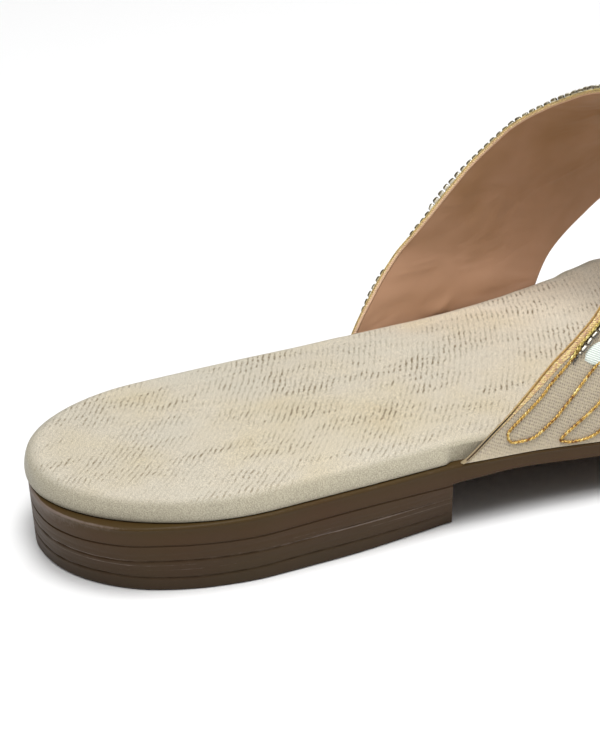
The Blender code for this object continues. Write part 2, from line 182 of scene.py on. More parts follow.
def along(column, station):
    """One of the last's columns at any station."""
    return look_up(LAST, column, station)


def half_width(station):
    """Half the insole's width, drawn in by an ellipse at the heel and a fuller arc at the toe."""
    heel = np.clip((HEEL_ARC - station) / HEEL_ARC, 0, 1)
    toe = np.clip((station - INSOLE_LENGTH + TOE_ARC) / TOE_ARC, 0, 1)
    toe_share = (1 - toe ** TOE_ROUNDNESS) ** (1 / TOE_ROUNDNESS)
    return along("half_width", station) * np.sqrt(1 - heel ** 2) * toe_share


def dish(x, station, outer):
    """Rise of the sole's rim: a parabola across, and only a share of it on the outer side."""
    share = (x - along("swing", station)) / along("half_width", station)
    return along("dish", station) * np.where(share < 0, 1.0, outer) * share ** 2


def seat(x, station):
    """Height of the sole's top face, which the band's pull keeps low behind its outer foot."""
    return along("seat", station) + dish(x, station, 0.5 * ease((station - 105) / 25))


def underside(x, station):
    """Height of the sole's underside, whose dish fades out where it nears the floor."""
    middle = along("underside", station)
    return middle + dish(x, station, 0.5) * np.clip(middle / 4.0, 0, 1)


def side_points(station, side):
    """Points and outward directions of one side of the insole; side is 1 outer, -1 inner."""
    def reach(place):
        return along("swing", place) + side * half_width(place)

    ahead = np.clip(station + SLOPE_STEP, 0, INSOLE_LENGTH)
    behind = np.clip(station - SLOPE_STEP, 0, INSOLE_LENGTH)
    lean = (reach(ahead) - reach(behind)) / (ahead - behind)
    lean = np.where(station >= INSOLE_LENGTH, -side * STEEP, lean)
    lean = np.where(station <= 0, side * STEEP, lean)
    length = np.sqrt(1 + lean ** 2)
    return np.stack([reach(station), station], 1), np.stack([side / length, -side * lean / length], 1)


def loop_points(station):
    """The insole's outline through these stations: up the outer side, back down the inner."""
    outer, outer_normal = side_points(station, 1)
    inner, inner_normal = side_points(station, -1)
    first = 1 if station[0] <= 0 else 0
    last = len(station) - 1 if station[-1] >= INSOLE_LENGTH else len(station)
    points = np.concatenate([outer, inner[first:last][::-1]])
    return points, np.concatenate([outer_normal, inner_normal[first:last][::-1]])


def whole_stations(arc=44, straight=110):
    """Stations from heel to toe, even in angle round the two ends."""
    quarter = np.linspace(0, np.pi / 2, arc)
    toe_start = INSOLE_LENGTH - TOE_ARC
    middle = np.linspace(HEEL_ARC, toe_start, straight)[1:-1]
    return np.concatenate([HEEL_ARC * (1 - np.cos(quarter)), middle, toe_start + TOE_ARC * np.sin(quarter)])


def facing(normals):
    """The way the edge faces, in degrees: -90 is straight back, 0 the outer side."""
    return np.degrees(np.arctan2(normals[:, 1], normals[:, 0]))


def past_heel(points):
    """0 where the heel's ledge begins to end, 1 where it has ended."""
    return (points[:, 1] - LEDGE_CHANGE[0]) / (LEDGE_CHANGE[1] - LEDGE_CHANGE[0])


def ledge(points, normals):
    """How far the sole's top rim stands out from the insole."""
    heel = look_up(LEDGE, "ledge", facing(normals))
    return heel + (SIDE_LEDGE - heel) * ease(past_heel(points))


def side_lean(points, normals):
    """Inward lean of the sole's side, per millimetre of depth below its rim."""
    rim, base = (look_up(LEDGE, column, facing(normals)) for column in ("ledge", "base"))
    heel = (rim - base) / HEEL_SEAT
    return heel + (FRONT_LEAN - heel) * np.clip(past_heel(points), 0, 1)


def offset_ring(points, normals, distance, height):
    """The outline moved out by a distance, at heights that are a function of place."""
    moved = points + normals * np.broadcast_to(distance, len(points))[:, None]
    return np.column_stack([moved, height(moved[:, 0], moved[:, 1])])


def inner_ring(points, share, height):
    """The outline drawn in towards the sole's long middle line; share 0 is that line."""
    station = np.clip(points[:, 1], HEEL_ARC, INSOLE_LENGTH - 0.6 * TOE_ARC)
    middle = np.column_stack([along("swing", station), station])
    moved = middle + (points - middle) * np.reshape(share, (-1, 1))
    return np.column_stack([moved, height(moved[:, 0], moved[:, 1])])


OUTLINE, _ = loop_points(whole_stations())
INSOLE_LOW, INSOLE_HIGH = (np.array(corner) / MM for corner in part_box("insole"))
OUTLINE_MIDDLE = (OUTLINE.min(axis=0) + OUTLINE.max(axis=0)) / 2
CENTRE = np.append(OUTLINE_MIDDLE - ((INSOLE_LOW + INSOLE_HIGH) / 2)[:2], 0.0)


# ---------------- meshes from arrays

def wall_faces(rows, count):
    """Quads between neighbouring rings of a grid, each ring with this many points."""
    place = np.arange(count)
    after = (place + 1) % count
    row = np.arange(rows - 1)[:, None] * count
    quads = np.stack([row + place, row + after, row + count + after, row + count + place], -1)
    return quads.reshape(-1, 4)


def weld(mesh, near=2e-6):
    """Merges doubled points and drops faces with no area."""
    work = bmesh.new()
    work.from_mesh(mesh)
    bmesh.ops.remove_doubles(work, verts=work.verts, dist=near)
    bmesh.ops.dissolve_degenerate(work, edges=work.edges, dist=near / 2)
    work.to_mesh(mesh)
    work.free()


def piece(name, vertices, faces, material, slot, uv=None, marks=None, sharp=40.0, replaces=()):
    """A mesh object in place: points in the last's frame, faces turned out, doubles merged.

    uv has two numbers for each point, in millimetres, and marks has named values for each.
    """
    vertices = np.asarray(vertices, dtype=float)
    first, second, third, fourth = (vertices[faces[:, corner]] for corner in range(4))
    volume = (first * np.cross(second, third)).sum() + (first * np.cross(third, fourth)).sum()
    if volume < 0:
        faces = faces[:, ::-1]
    mesh = bpy.data.meshes.new(name)
    mesh.from_pydata(((vertices - CENTRE) * MM).tolist(), [], faces.tolist())
    corner = np.zeros(len(mesh.loops), dtype=np.int32)
    mesh.loops.foreach_get("vertex_index", corner)
    if uv is not None:
        layer = mesh.uv_layers.new(name="cloth")
        layer.data.foreach_set("uv", np.asarray(uv, dtype=np.float32)[corner].ravel())
    for key, values in (marks or {}).items():
        attribute = mesh.attributes.new(key, "FLOAT", "POINT")
        attribute.data.foreach_set("value", np.asarray(values, dtype=np.float32))
    item = bpy.data.objects.new(name, mesh)
    bpy.context.scene.collection.objects.link(item)
    weld(mesh)
    mesh.shade_smooth()
    mesh.set_sharp_from_angle(angle=np.radians(sharp))
    mesh.materials.append(material)
    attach(item, "root")
    if replaces:
        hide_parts(*replaces)
    return item


def even(grid):
    """A grid whose rings have an even number of points: an odd ring's middle point is doubled."""
    half = grid.shape[1] // 2
    return np.insert(grid, half, grid[:, half], axis=1) if grid.shape[1] % 2 else grid


def capped_faces(rows, count):
    """Quads between a grid's rings and over the first and last, from their way out to their way back."""
    place = np.arange(count // 2 - 1)
    cap = np.stack([place, place + 1, count - 2 - place, count - 1 - place], 1)
    return np.concatenate([wall_faces(rows, count), cap[:, ::-1], cap + (rows - 1) * count])


def copies(vertices, faces, places, axes):
    """Many copies of one small shape: place + axes times each point, as joined arrays."""
    moved = places[:, None, :] + np.einsum("kij,nj->kni", axes, vertices)
    numbered = faces[None] + (np.arange(len(places)) * len(vertices))[:, None, None]
    return moved.reshape(-1, 3), numbered.reshape(-1, faces.shape[1])


def gather(parts):
    """Several (points, faces) pairs as one."""
    offset = np.cumsum([0] + [len(points) for points, _ in parts[:-1]])
    points = np.concatenate([points for points, _ in parts])
    return points, np.concatenate([faces + start for (_, faces), start in zip(parts, offset)])


def tube(path, radius, sides):
    """A round tube along a path, each ring square to its tangent, drawn to a point at its ends."""
    tangent = unit(np.gradient(path, axis=0))
    guide = np.where(np.abs(tangent[:, 2:3]) < 0.8, [[0.0, 0.0, 1.0]], [[1.0, 0.0, 0.0]])
    across = unit(np.cross(tangent, guide))
    up = np.cross(across, tangent)
    turn = np.linspace(0, TAU, sides, endpoint=False)[None, :, None]
    rings = path[:, None] + (across[:, None] * np.cos(turn) + up[:, None] * np.sin(turn)) * radius
    first, last = (np.repeat(end[:, None], sides, 1) for end in (path[:1], path[-1:]))
    return np.concatenate([first, rings, last]).reshape(-1, 3), wall_faces(len(path) + 2, sides)


# ---------------- materials
#
# On Object coordinates a noise has a scale of 1000 over the size of its spots in millimetres.
# On flat coordinates, which are in millimetres, it has 1 over that size, and a wave has TAU / 20
# over the distance between its crests.

def linear(code):
    """An sRGB hex colour as linear red, green, blue and alpha."""
    srgb = np.array([int(code[k:k + 2], 16) for k in (0, 2, 4)]) / 255
    value = np.where(srgb <= 0.04045, srgb / 12.92, ((srgb + 0.055) / 1.055) ** 2.4)
    return (*value.tolist(), 1.0)


def fill(node, inputs):
    """Gives each of a node's inputs, by name or number, its value or a link from a socket."""
    for key, value in inputs.items():
        socket = node.inputs[key.replace("_", " ") if isinstance(key, str) else key]
        if isinstance(value, bpy.types.NodeSocket):
            node.id_data.links.new(value, socket)
        else:
            socket.default_value = value


def add_node(tree, kind, *numbered, out=None, stops=(), **named):
    """Adds a node and returns the output called out, or else its factor, result or first.

    What comes without a name goes to its inputs in their order. A name with a capital letter is
    an input and any other a setting. Stops are a ramp's places with their colours.
    """
    node = tree.nodes.new("ShaderNode" + kind)
    for key in [key for key in named if key[0].islower()]:
        setattr(node, key, named.pop(key))
    fill(node, {**dict(enumerate(numbered)), **named})
    for _ in stops[2:]:
        node.color_ramp.elements.new(1.0)
    for count, (position, code) in enumerate(stops):
        node.color_ramp.elements[count].position = position
        node.color_ramp.elements[count].color = linear(code)
    for usual in ("Fac", "Result"):
        if out is None and usual in node.outputs:
            out = usual
    return node.outputs[out or 0]


def new_material(name, **sockets):
    """Starts a material whose shader has these plain values.

    Returns two functions: one adds a node to it, and the other links the shader's inputs and
    returns the finished material.
    """
    material = bpy.data.materials.new(name)
    material.use_nodes = True
    shader = material.node_tree.nodes["Principled BSDF"]
    fill(shader, sockets)

    def finish(**linked):
        fill(shader, linked)
        return material

    return partial(add_node, material.node_tree), finish


def brushed_cotton_drill():
    """Brushed cotton drill with a rib, wrapped over foam.

    It is matt, grainy and a little uneven in tone. Painted light makes it a little darker towards
    the heel and paler under the band, and painted shade darkens its wrapped side. The nap
    hides the ribs except in patches in rows along the foot, where the grooves between them
    show as short ragged dashes. The ribs are 0.96 mm apart. They fan a little: each is an arc
    round a point well off the foot, so they turn from 41 degrees off square at the heel to 29
    degrees under the band. The clouds are 23 mm wide and the grain is 0.18 mm.
    """
    rib_pitch = 0.965
    fan_middle = (CENTRE[:2] - (-132.0, -138.4)).tolist()
    add, finish = new_material("brushed_cotton_drill", Roughness=0.92, Sheen_Weight=0.2,
                               Sheen_Roughness=0.5, Specular_IOR_Level=0.25)
    place = add("TexCoord", out="Object")
    top = add("Attribute", attribute_name="top")
    in_mm = {"Vector": place, "Scale": (1000, 1000, 1000)}
    turned = add("Mapping", Rotation=(0, 0, np.radians(-54)), **in_mm)
    fanned = add("Mapping", Location=(*fan_middle, 0.0), **in_mm)
    ribs = add("TexWave", Vector=fanned, Scale=TAU / 20 / rib_pitch, Distortion=3.0, Detail=3.0,
               Detail_Scale=0.9, wave_type="RINGS", rings_direction="Z")
    patches = []
    for scale, turn, low, high in (((235, 66, 235), 0.05, 0.42, 0.66), ((88, 40, 88), -0.1, 0.30, 0.62)):
        at = add("Mapping", Vector=place, Scale=scale, Location=(turn * 9, 0.4, 0), Rotation=(0, 0, turn))
        noise = add("TexNoise", Vector=at, Scale=1.0, Detail=3.0, Roughness=0.6)
        patches.append(add("MapRange", noise, low, high))
    broken_at = add("Mapping", Vector=turned, Scale=(1.0, 0.52, 1.0))
    broken = add("TexNoise", Vector=broken_at, Scale=1.35, Detail=4.0, Roughness=0.75)
    patch = add("Math", *patches, operation="MULTIPLY")
    dash = add("Math", patch, 1.55, 0.15, operation="MULTIPLY_ADD")
    for share in (top, add("MapRange", broken, 0.41, 0.60), add("MapRange", ribs, 0.46, 0.92)):
        dash = add("Math", dash, share, operation="MULTIPLY")
    dash.node.use_clamp = True
    cloud = add("TexNoise", Vector=place, Scale=44.0, Detail=4.0)
    grain = add("TexNoise", Vector=place, Scale=5600.0, Detail=1.0, Roughness=0.6)
    shade = add("ValToRGB", cloud,
                stops=((0.30, "C7C1B1"), (0.50, "CAC1AE"), (0.66, "CABFA6"), (0.80, "C7B899")))
    # The wrapped side, where top is low, is mixed towards a darker warm grey: painted shade.
    painted_side_shade = add("Mix", Factor=top, A=linear("A39C88"), B=shade, data_type="RGBA")
    speck = add("MapRange", grain, 0.34, 0.66, 0.75, 1.26)
    # Painted light: paler towards the band and darker towards the heel.
    painted_light_along_foot = add("MapRange", add("SeparateXYZ", place, out="Y"), -0.11, -0.01, 0.93, 1.10)
    speck = add("Math", speck, painted_light_along_foot, operation="MULTIPLY")
    grained = add("VectorMath", painted_side_shade, Scale=speck, operation="SCALE")
    colour = add("Mix", Factor=dash, A=grained, B=linear("85785F"), data_type="RGBA")
    height = add("Math", dash, -1.3, grain, operation="MULTIPLY_ADD")
    return finish(Base_Color=colour, Normal=add("Bump", Height=height, Strength=0.6, Distance=0.00008))


def moulded_rubber():
    """Moulded thermoplastic rubber, satin from a spark-eroded mould with a 0.5 mm grain.

    Its top rim is scuffed to a paler violet grey, which is partly a painted highlight, and dry
    flecks of release wax sit in the grooves. Painted shade makes it darker towards the floor and in
    the grooves.
    """
    add, finish = new_material("moulded_rubber", Specular_IOR_Level=0.16)
    place = add("TexCoord", out="Object")
    rim = add("Attribute", attribute_name="scuff_and_highlight")
    groove = add("Attribute", attribute_name="groove")
    # The rubber is painted darker towards the floor: painted shade.
    level = add("MapRange", add("SeparateXYZ", place, out="Z"), 0.0, 0.013)
    body = add("ValToRGB", level,
               stops=((0.0, "3E3020"), (0.45, "443321"), (0.8, "48341F"), (1.0, "443318")))
    cloud = add("TexNoise", Vector=place, Scale=90.0, Detail=4.0)
    colour = add("Mix", Factor=0.10, A=body, B=cloud.node.outputs["Color"], data_type="RGBA",
                 blend_type="SOFT_LIGHT")
    # The rim's scuff is partly a painted highlight, strongest at the rear outer corner.
    scuff_and_highlight = add("TexNoise", Vector=place, Scale=420.0, Detail=6.0, Roughness=0.85)
    scuff_and_highlight = add("Math", scuff_and_highlight, 1.3, -0.55, operation="MULTIPLY_ADD")
    scuff_and_highlight = add("Math", scuff_and_highlight, rim, operation="ADD")
    scuff_and_highlight = add("MapRange", scuff_and_highlight, 0.45, 1.15, 0.0, 0.8)
    # Painted shade: darker in the grooves.
    groove_shade = add("Math", groove, 0.55, operation="MULTIPLY")
    fleck = add("TexNoise", Vector=place, Scale=2100.0, Detail=2.0)
    fleck = add("Math", fleck, groove, operation="MULTIPLY")
    fleck = add("MapRange", fleck, 0.57, 0.66, 0.0, 0.6)
    for share, code in ((scuff_and_highlight, "7D6F66"), (groove_shade, "211810"), (fleck, "85755C")):
        colour = add("Mix", Factor=share, A=colour, B=linear(code), data_type="RGBA")
    rough = add("MapRange", cloud, 0.0, 1.0, 0.46, 0.62)
    fine = add("TexNoise", Vector=place, Scale=1900.0, Detail=3.0)
    bump = add("Bump", Height=fine, Strength=0.35, Distance=0.00008)
    return finish(Base_Color=colour, Roughness=rough, Normal=bump)


def coated_lining():
    """Polyurethane-coated lining fabric: smooth and tan, with a soft satin and shallow slack folds.

    It is paler and pinker near the foot's sole and browner towards the ridge, partly from rubbing and
    partly as painted bounce light from the insole. The clouds are 18 mm wide and the folds 10 mm.
    """
    add, finish = new_material("coated_lining", Specular_IOR_Level=0.35, Roughness=0.5)
    place = add("TexCoord", out="Object")
    cloud = add("TexNoise", Vector=place, Scale=55.0, Detail=3.0, Roughness=0.55)
    # Paler and pinker low down: partly rubbing, partly painted bounce light from the insole.
    rise = add("MapRange", add("SeparateXYZ", place, out="Z"), 0.014, 0.056, 0.62, 0.18)
    level = add("Math", cloud, rise, operation="ADD")
    level = add("Math", level, 0.13, operation="SUBTRACT")
    shade = add("ValToRGB", level,
                stops=((0.34, "9A6E42"), (0.60, "A77F5B"), (0.86, "B68E70"), (1.0, "BC9376")))
    slack_at = add("Mapping", Vector=place, Scale=(1.0, 0.55, 1.2), Rotation=(0.5, 0, 0))
    slack = add("TexNoise", Vector=slack_at, Scale=95.0, Detail=2.0, Roughness=0.45, Distortion=0.6)
    return finish(Base_Color=shade, Normal=add("Bump", Height=slack, Strength=0.45, Distance=0.0026))


def ribbed_weave():
    """Beige rib weave of straw and grey yarns, its ribs 0.52 mm apart and crossed every 0.38 mm.

    The cloth is cut a little on the bias, so its ribs climb round the arch at 21 degrees. Grey
    weft floats show between the ribs as rows of small uneven dashes, and the cloth is paler and
    plainer close above the sole, where it is stretched.
    """
    add, finish = new_material("ribbed_weave", Roughness=0.8, Sheen_Weight=0.2, Specular_IOR_Level=0.3)
    cloth = add("Mapping", Vector=add("UVMap", uv_map="cloth"), Rotation=(0, 0, np.radians(-21)))
    grey, crossed = (add("TexWave", Vector=cloth, Scale=TAU / 20 / pitch, Distortion=2.6, Detail=2.0,
                         Detail_Scale=1.4, bands_direction=way) for way, pitch in (("X", 0.52), ("Y", 0.38)))
    slub = add("TexNoise", Vector=cloth, Scale=2.2, Detail=4.0, Roughness=0.75)
    base = add("ValToRGB", slub,
               stops=((0.30, "A69889"), (0.42, "B4A794"), (0.52, "B8AB92"), (0.70, "CCC0A5")))
    plain = add("MapRange", add("Attribute", attribute_name="foot"), 0.0, 1.0, 1.0, 0.25)
    uneven = add("MapRange", slub, 0.62, 0.36, 0.45, 1.0)
    for share in (crossed, plain, uneven):
        grey = add("Math", grey, share, operation="MULTIPLY")
    colour = add("Mix", Factor=grey, A=base, B=linear("6C6458"), data_type="RGBA")
    bump = add("Bump", Height=grey, Strength=0.6, Distance=0.00006, invert=True)
    return finish(Base_Color=colour, Normal=bump)


def metallic_tape():
    """Woven tape of metallised yarn folded over the edge: pale gold outside, pink gold within.

    Copper and lilac grey flecks show where the film has rubbed off the yarn, which lies in ribs
    0.42 mm apart.
    """
    add, finish = new_material("metallic_tape", Metallic=0.1, Roughness=0.55)
    cloth = add("UVMap", uv_map="cloth")
    fleck = add("TexNoise", Vector=cloth, Scale=2.5, Detail=3.0, Roughness=0.7)
    colour = add("ValToRGB", fleck, stops=((0.32, "8A6A2E"), (0.43, "C29A86"), (0.50, "CDAB6C"),
                                           (0.57, "E3CD8C"), (0.68, "F6E9B8")))
    # Inside the fold the tape is pink gold. Near the band's foot it is painted darker and greyer: painted
    # shade.
    for way, start, end, code in (("Y", 2.2, 2.65, "E3BFA0"), ("X", 14.0, 5.0, "A29171")):
        share = add("MapRange", add("SeparateXYZ", cloth, out=way), start, end)
        colour = add("Mix", Factor=share, A=colour, B=linear(code), data_type="RGBA")
    ribs = add("TexWave", Vector=cloth, Scale=TAU / 20 / 0.42, Distortion=1.0, bands_direction="X")
    return finish(Base_Color=colour, Normal=add("Bump", Height=ribs, Strength=0.6, Distance=0.00008))


def metallised_thread(name, dark, main, light):
    """Metallised embroidery thread: gold film wound on a coloured core that shows in flecks.

    The flecks are 0.7 mm long, the length of a strand that lies on top of the twist.
    """
    add, finish = new_material(name, Metallic=0.45, Roughness=0.38)
    fleck = add("TexNoise", Vector=add("TexCoord", out="Object"), Scale=1500.0, Detail=2.0)
    stops = ((0.38, dark), (0.47, main), (0.58, main), (0.68, light))
    return finish(Base_Color=add("ValToRGB", fleck, stops=stops))


def rolled_gilt():
    """The tape's rolled edge: gilt yarn, painted near black by the foot of the band as shade, and pale over
    the arch.

    Its flecks are 1.1 mm long.
    """
    add, finish = new_material("rolled_gilt", Metallic=0.3, Roughness=0.45)
    # Near black over the first few degrees from the outer foot: painted shade.
    shade = add("ValToRGB", add("Attribute", attribute_name="arch"),
                stops=((0.005, "4A3420"), (0.015, "1C140A"), (0.028, "2A1F10"), (0.042, "7E6733"),
                       (0.065, "A17B38"), (0.12, "A67F3C"), (0.40, "CDB67C")))
    fleck = add("TexNoise", Vector=add("TexCoord", out="Object"), Scale=900.0, Detail=2.0)
    level = add("MapRange", fleck, 0.35, 0.65, 0.65, 1.3)
    return finish(Base_Color=add("VectorMath", shade, Scale=level, operation="SCALE"))


def satin_stitch(name, dark, light):
    """Viscose floss in satin stitch: fine glossy threads laid side by side across the leaf.

    The threads are drawn 0.4 mm apart, coarser than the real floss, so that they show.
    """
    add, finish = new_material(name, Roughness=0.42, Sheen_Weight=0.3, Specular_IOR_Level=0.6)
    threads = add("TexWave", Vector=add("UVMap", uv_map="cloth"), Scale=TAU / 20 / 0.4, Distortion=0.6,
                  bands_direction="X")
    bump = add("Bump", Height=threads, Strength=0.6, Distance=0.00008, invert=True)
    return finish(Base_Color=add("ValToRGB", threads, stops=((0.15, light), (0.85, dark))), Normal=bump)


def silvered_glass():
    """Smoke glass, dark and brownish, with bright streaks that are painted highlights.

    The tint changes every 2 mm, from bead to bead.
    """
    add, finish = new_material("silvered_glass", Metallic=0.15, Roughness=0.18, Coat_Weight=1.0,
                               Coat_Roughness=0.03)
    tint = add("TexNoise", Vector=add("TexCoord", out="Object"), Scale=520.0, Detail=1.0)
    streak = add("Attribute", attribute_name="streak")
    level = add("Math", tint, 1.3, streak, operation="MULTIPLY_ADD")
    return finish(Base_Color=add("ValToRGB", add("MapRange", level, -0.3, 2.0),
                                 stops=((0.0, "2A2219"), (0.32, "4A4030"), (0.60, "857B5E"),
                                        (0.78, "F0EBDC"), (1.0, "FFFFFA"))))


# ---------------- sole

GROOVE_ROWS = (              # height, depth, width, wave and its phase
    (5.9, 0.3, 0.2, 0.22, 0),
    (2.75, 0.3, 0.19, 0.2, 1.9),
    (7.35, 0.06, 0.3, 0.3, 3.1),
    (4.35, 0.05, 0.3, 0.25, 4.4),
)
JOINT_ROUND = 0.20           # rounding of the two lips of the top groove
JOINT_WAVE = (0.22, 0.7)     # size and phase of the top groove's wander
TUCKED = 0.24                # how far in the heel stands where it is inside the layer
WAIST_DEPTH = 0.5            # how much thicker the layer is at its edge under the waist
BREAST_BASE = 65.1           # station of the heel's front face at its base
BREAST_LEAN = 1.5            # how far back its top is
BASE_PULL = 0.8              # how far back the base's edge is drawn there, for each mm inward
RIM_ROUND = 0.5
# Wear of the rim's rounding rings, partly a painted highlight.
RIM_WEAR_AND_HIGHLIGHT = (0.0, 0.6, 1.6, 2.1, 1.6, 1.0)
BASE_ROUND = 0.55
SEAM_WELD = 1e-7             # points this near, in metres, are one where layer and heel join
SCUFF_AND_HIGHLIGHT_ALL_ROUND = 0.16
SCUFF_AND_HIGHLIGHT_REAR_OUTER = 0.80      # the further scuff and painted highlight at the rear outer corner


def wander(points, size, phase):
    """A slow wave round the sole: sines of both coordinates, about 40 and 23 mm long."""
    return size * (0.6 * np.sin(points[:, 1] / 6.4 + phase) + 0.4 * np.sin(points[:, 0] / 3.7 + 2 * phase))


def quarter_round(radius, count):
    """(inward, down) steps of a quarter circle from a flat face to a side."""
    turn = np.linspace(0, np.pi / 2, count)
    return list(zip(radius * (1 - np.sin(turn)), radius * (1 - np.cos(turn))))


def sole_layer():
    """The sole's own layer: rings from its top face, round its side, to below, and their wear and painted
    highlight.
    """
    points, normals = loop_points(whole_stations())
    front = points[:, 1]
    rim = ledge(points, normals)
    lean = side_lean(points, normals)
    waist = WAIST_DEPTH * ease((front - 71) / 14) * ease((150 - front) / 20)
    thickness = along("seat", front) - along("underside", front) + waist
    at_heel = 1 - ease((front - HEEL_BREAST + 1) / 2)
    joint = wander(points, *JOINT_WAVE) * at_heel
    below = JOINT_ROUND + 0.25 * (1 - at_heel)
    rings = [inner_ring(points, share, seat) for share in (0, 0.3, 0.6, 0.85, 0.96)]
    rings += [offset_ring(points, normals, rim - inward, seat) for inward in (1.4, 0.8)]
    wear_and_highlight = [0.0] * len(rings) + list(RIM_WEAR_AND_HIGHLIGHT)
    for inward, down in quarter_round(RIM_ROUND, len(RIM_WEAR_AND_HIGHLIGHT)):
        rings.append(offset_ring(points, normals, rim - inward, lambda x, y: seat(x, y) - down))
    for share in np.linspace(0, 1, 9)[1:]:
        down = RIM_ROUND + (thickness - RIM_ROUND - below) * share
        rings.append(offset_ring(points, normals, rim - lean * down,
                                 lambda x, y: seat(x, y) - down + joint * share))
        wear_and_highlight.append(1 - share)
    for inward, up in reversed(quarter_round(1.0, 7)):
        rings.append(offset_ring(points, normals, rim - lean * thickness - inward * below,
                                 lambda x, y: underside(x, y) + up * below + joint - waist))
    rings += [inner_ring(points, share, underside) for share in (0.9, 0.6, 0.3, 0)]
    wear_and_highlight += [0.0] * (len(rings) - len(wear_and_highlight))
    return points, normals, np.array(rings), np.array(wear_and_highlight)[:, None]


def heel_profile(points, normals, height):
    """Distance out of the heel's side at a height, before its grooves are cut."""
    rim, base = (look_up(LEDGE, column, facing(normals)) for column in ("ledge", "base"))
    nearness = np.clip((points[:, 1] - NARROWING_START) / (HEEL_BREAST - NARROWING_START), 0, 1)
    below = np.clip((LAYER_BOTTOM - height) / LAYER_BOTTOM, 0, None)
    return rim - (rim - base) * (HEEL_SEAT - height) / HEEL_SEAT - BASE_NARROWING * below * nearness ** 1.5


def heel_block():
    """Rings of the heel's lifts from inside the layer down to the base, and groove depths.

    A groove is a bell in height, cut along a wandering line, deeper away from the front face.
    The top lip is a quarter circle, and so is the base's edge. Each ring's two ends stand in the
    plane of the front face.
    """
    top = LAYER_BOTTOM - JOINT_ROUND
    levels = [(0.0, height) for height in (10.6, LAYER_BOTTOM - 0.1, *np.linspace(top, BASE_ROUND, 62))]
    rings = []
    cuts = []
    for inward, height in levels + quarter_round(BASE_ROUND, 6)[-2::-1]:
        lean = 0.0 if inward else BREAST_LEAN * np.clip(height / LAYER_BOTTOM, 0, 1)
        breast = BREAST_BASE - BASE_PULL * inward - lean
        arc = HEEL_ARC * (1 - np.cos(np.linspace(0, np.pi / 2, 44)))
        points, normals = loop_points(np.concatenate([arc, np.linspace(HEEL_ARC, breast, 40)[1:]]))
        fade = ease((breast - points[:, 1]) / 5.0)
        cut = np.zeros(len(points))
        for groove, depth, width, wave, phase in GROOVE_ROWS:
            place = groove + wander(points, wave, phase)
            rough = 0.8 + 0.2 * np.sin(points[:, 1] * 1.3 + points[:, 0] * 0.9 + phase)
            cut = cut + depth * rough * hill(height, place, width) * (0.25 + 0.75 * fade)
        lip = JOINT_ROUND * (1 - np.sqrt(1 - np.clip(1 - (top - height) / JOINT_ROUND, 0, 1) ** 2))
        inside = TUCKED if height > top else lip
        out = heel_profile(points, normals, height) - np.maximum(cut, 0) - inside - inward
        level = height + wander(points, *JOINT_WAVE) * ease((height - 7.6) / 1.0) * (height < 10)
        ring = np.column_stack([points + normals * out[:, None], level])
        ring[points[:, 1] >= breast - 1e-6, 1] = breast
        rings.append(ring)
        # The groove mark is the cut's depth. The rubber is painted darker by it as shade, and the rings
        # inside the layer get a little of it at the joint.
        cuts.append(np.clip(cut / 0.4, 0, 1) if height <= top else np.full(len(points), 0.1))
    return np.array(rings), np.array(cuts)


def outsole(material):
    """The moulded sole: the layer and the heel joined into one closed surface."""
    points, normals, rings, wear_and_highlight = sole_layer()
    # The rim's scuff is partly a painted highlight, strongest at the rear outer corner.
    rear_outer = np.clip(1.1 - np.abs(facing(normals) + 90) / 44, 0, 1) * (points[:, 1] < HEEL_BREAST)
    scuff_and_highlight = wear_and_highlight * (SCUFF_AND_HIGHLIGHT_ALL_ROUND + SCUFF_AND_HIGHLIGHT_REAR_OUTER * rear_outer)
    layer = piece("sole_layer", rings.reshape(-1, 3), wall_faces(len(rings), len(points)), material,
                  "brown_rubber", marks={"scuff_and_highlight": scuff_and_highlight.ravel(), "groove": np.zeros(scuff_and_highlight.size)})
    rings, cuts = (even(values) for values in heel_block())
    heel = piece("heel_block", rings.reshape(-1, 3), capped_faces(*cuts.shape), material,
                 "brown_rubber", marks={"scuff_and_highlight": np.zeros(cuts.size), "groove": cuts.ravel()})
    union = layer.modifiers.new("moulded_heel", "BOOLEAN")
    union.operation = "UNION"
    union.object = heel
    bpy.context.view_layer.update()
    evaluated = layer.evaluated_get(bpy.context.evaluated_depsgraph_get())
    joined = bpy.data.meshes.new_from_object(evaluated)
    layer.modifiers.clear()
    layer.data = joined
    layer.name = "moulded_sole"
    bpy.data.objects.remove(heel, do_unlink=True)
    weld(joined, SEAM_WELD)
    joined.shade_smooth()
    joined.set_sharp_from_angle(angle=np.radians(38))
    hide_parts("outsole")


# ---------------- insole

FOLD_ROWS = (                # how far out the wrapped side is, and its share of the height
    (0.55, 0), (0.92, 0.06), (1, 0.2), (0.86, 0.4), (0.56, 0.6), (0.1, 0.79),
    (-0.55, 0.93), (-1.5, 1),
)
PRESS = table(
    "station drop",
    (30, 0), (52, 0.2), (64, 0.42), (78, 0.62), (91, 0.95), (101, 1.1), (112, 1.05),
    (120, 1), (123, 0.95), (126, 0.35), (130, 0), (134, -0.55), (140, -0.5),
    (156, 0),
)
EDGE_DIP_ROWS = (            # distance in from the outline, and the dip there
    (2, 0), (2.7, 0.01), (3.5, 0.05), (4.5, 0.08), (5.7, 0.06), (7.1, 0.02), (9, 0),
)
INSOLE_CROWN = 0.25
GATHER_PITCH = 7.5           # spacing of the soft puckers where the cloth is pulled round the edge
WRINKLE_PITCH = 2.3
SEAM_LIFT = 0.05             # the insole's underside stands this far off the sole
BAND_PULL = 0.22             # how far the band draws in the insole's side


def footbed(x, y):
    """The insole's top: a low crown, less the foot's slight print at heel and ball."""
    share = np.clip(np.abs(x - along("swing", y)) / along("half_width", y), 0, 1)
    print_depth = 0.30 * hill(x, 0, 17) * hill(y, 27, 22) + 0.35 * hill(x, -4, 24) * hill(y, 168, 22)
    return seat(x, y) + INSOLE_THICKNESS + INSOLE_CROWN * (1 - share ** 2) - print_depth


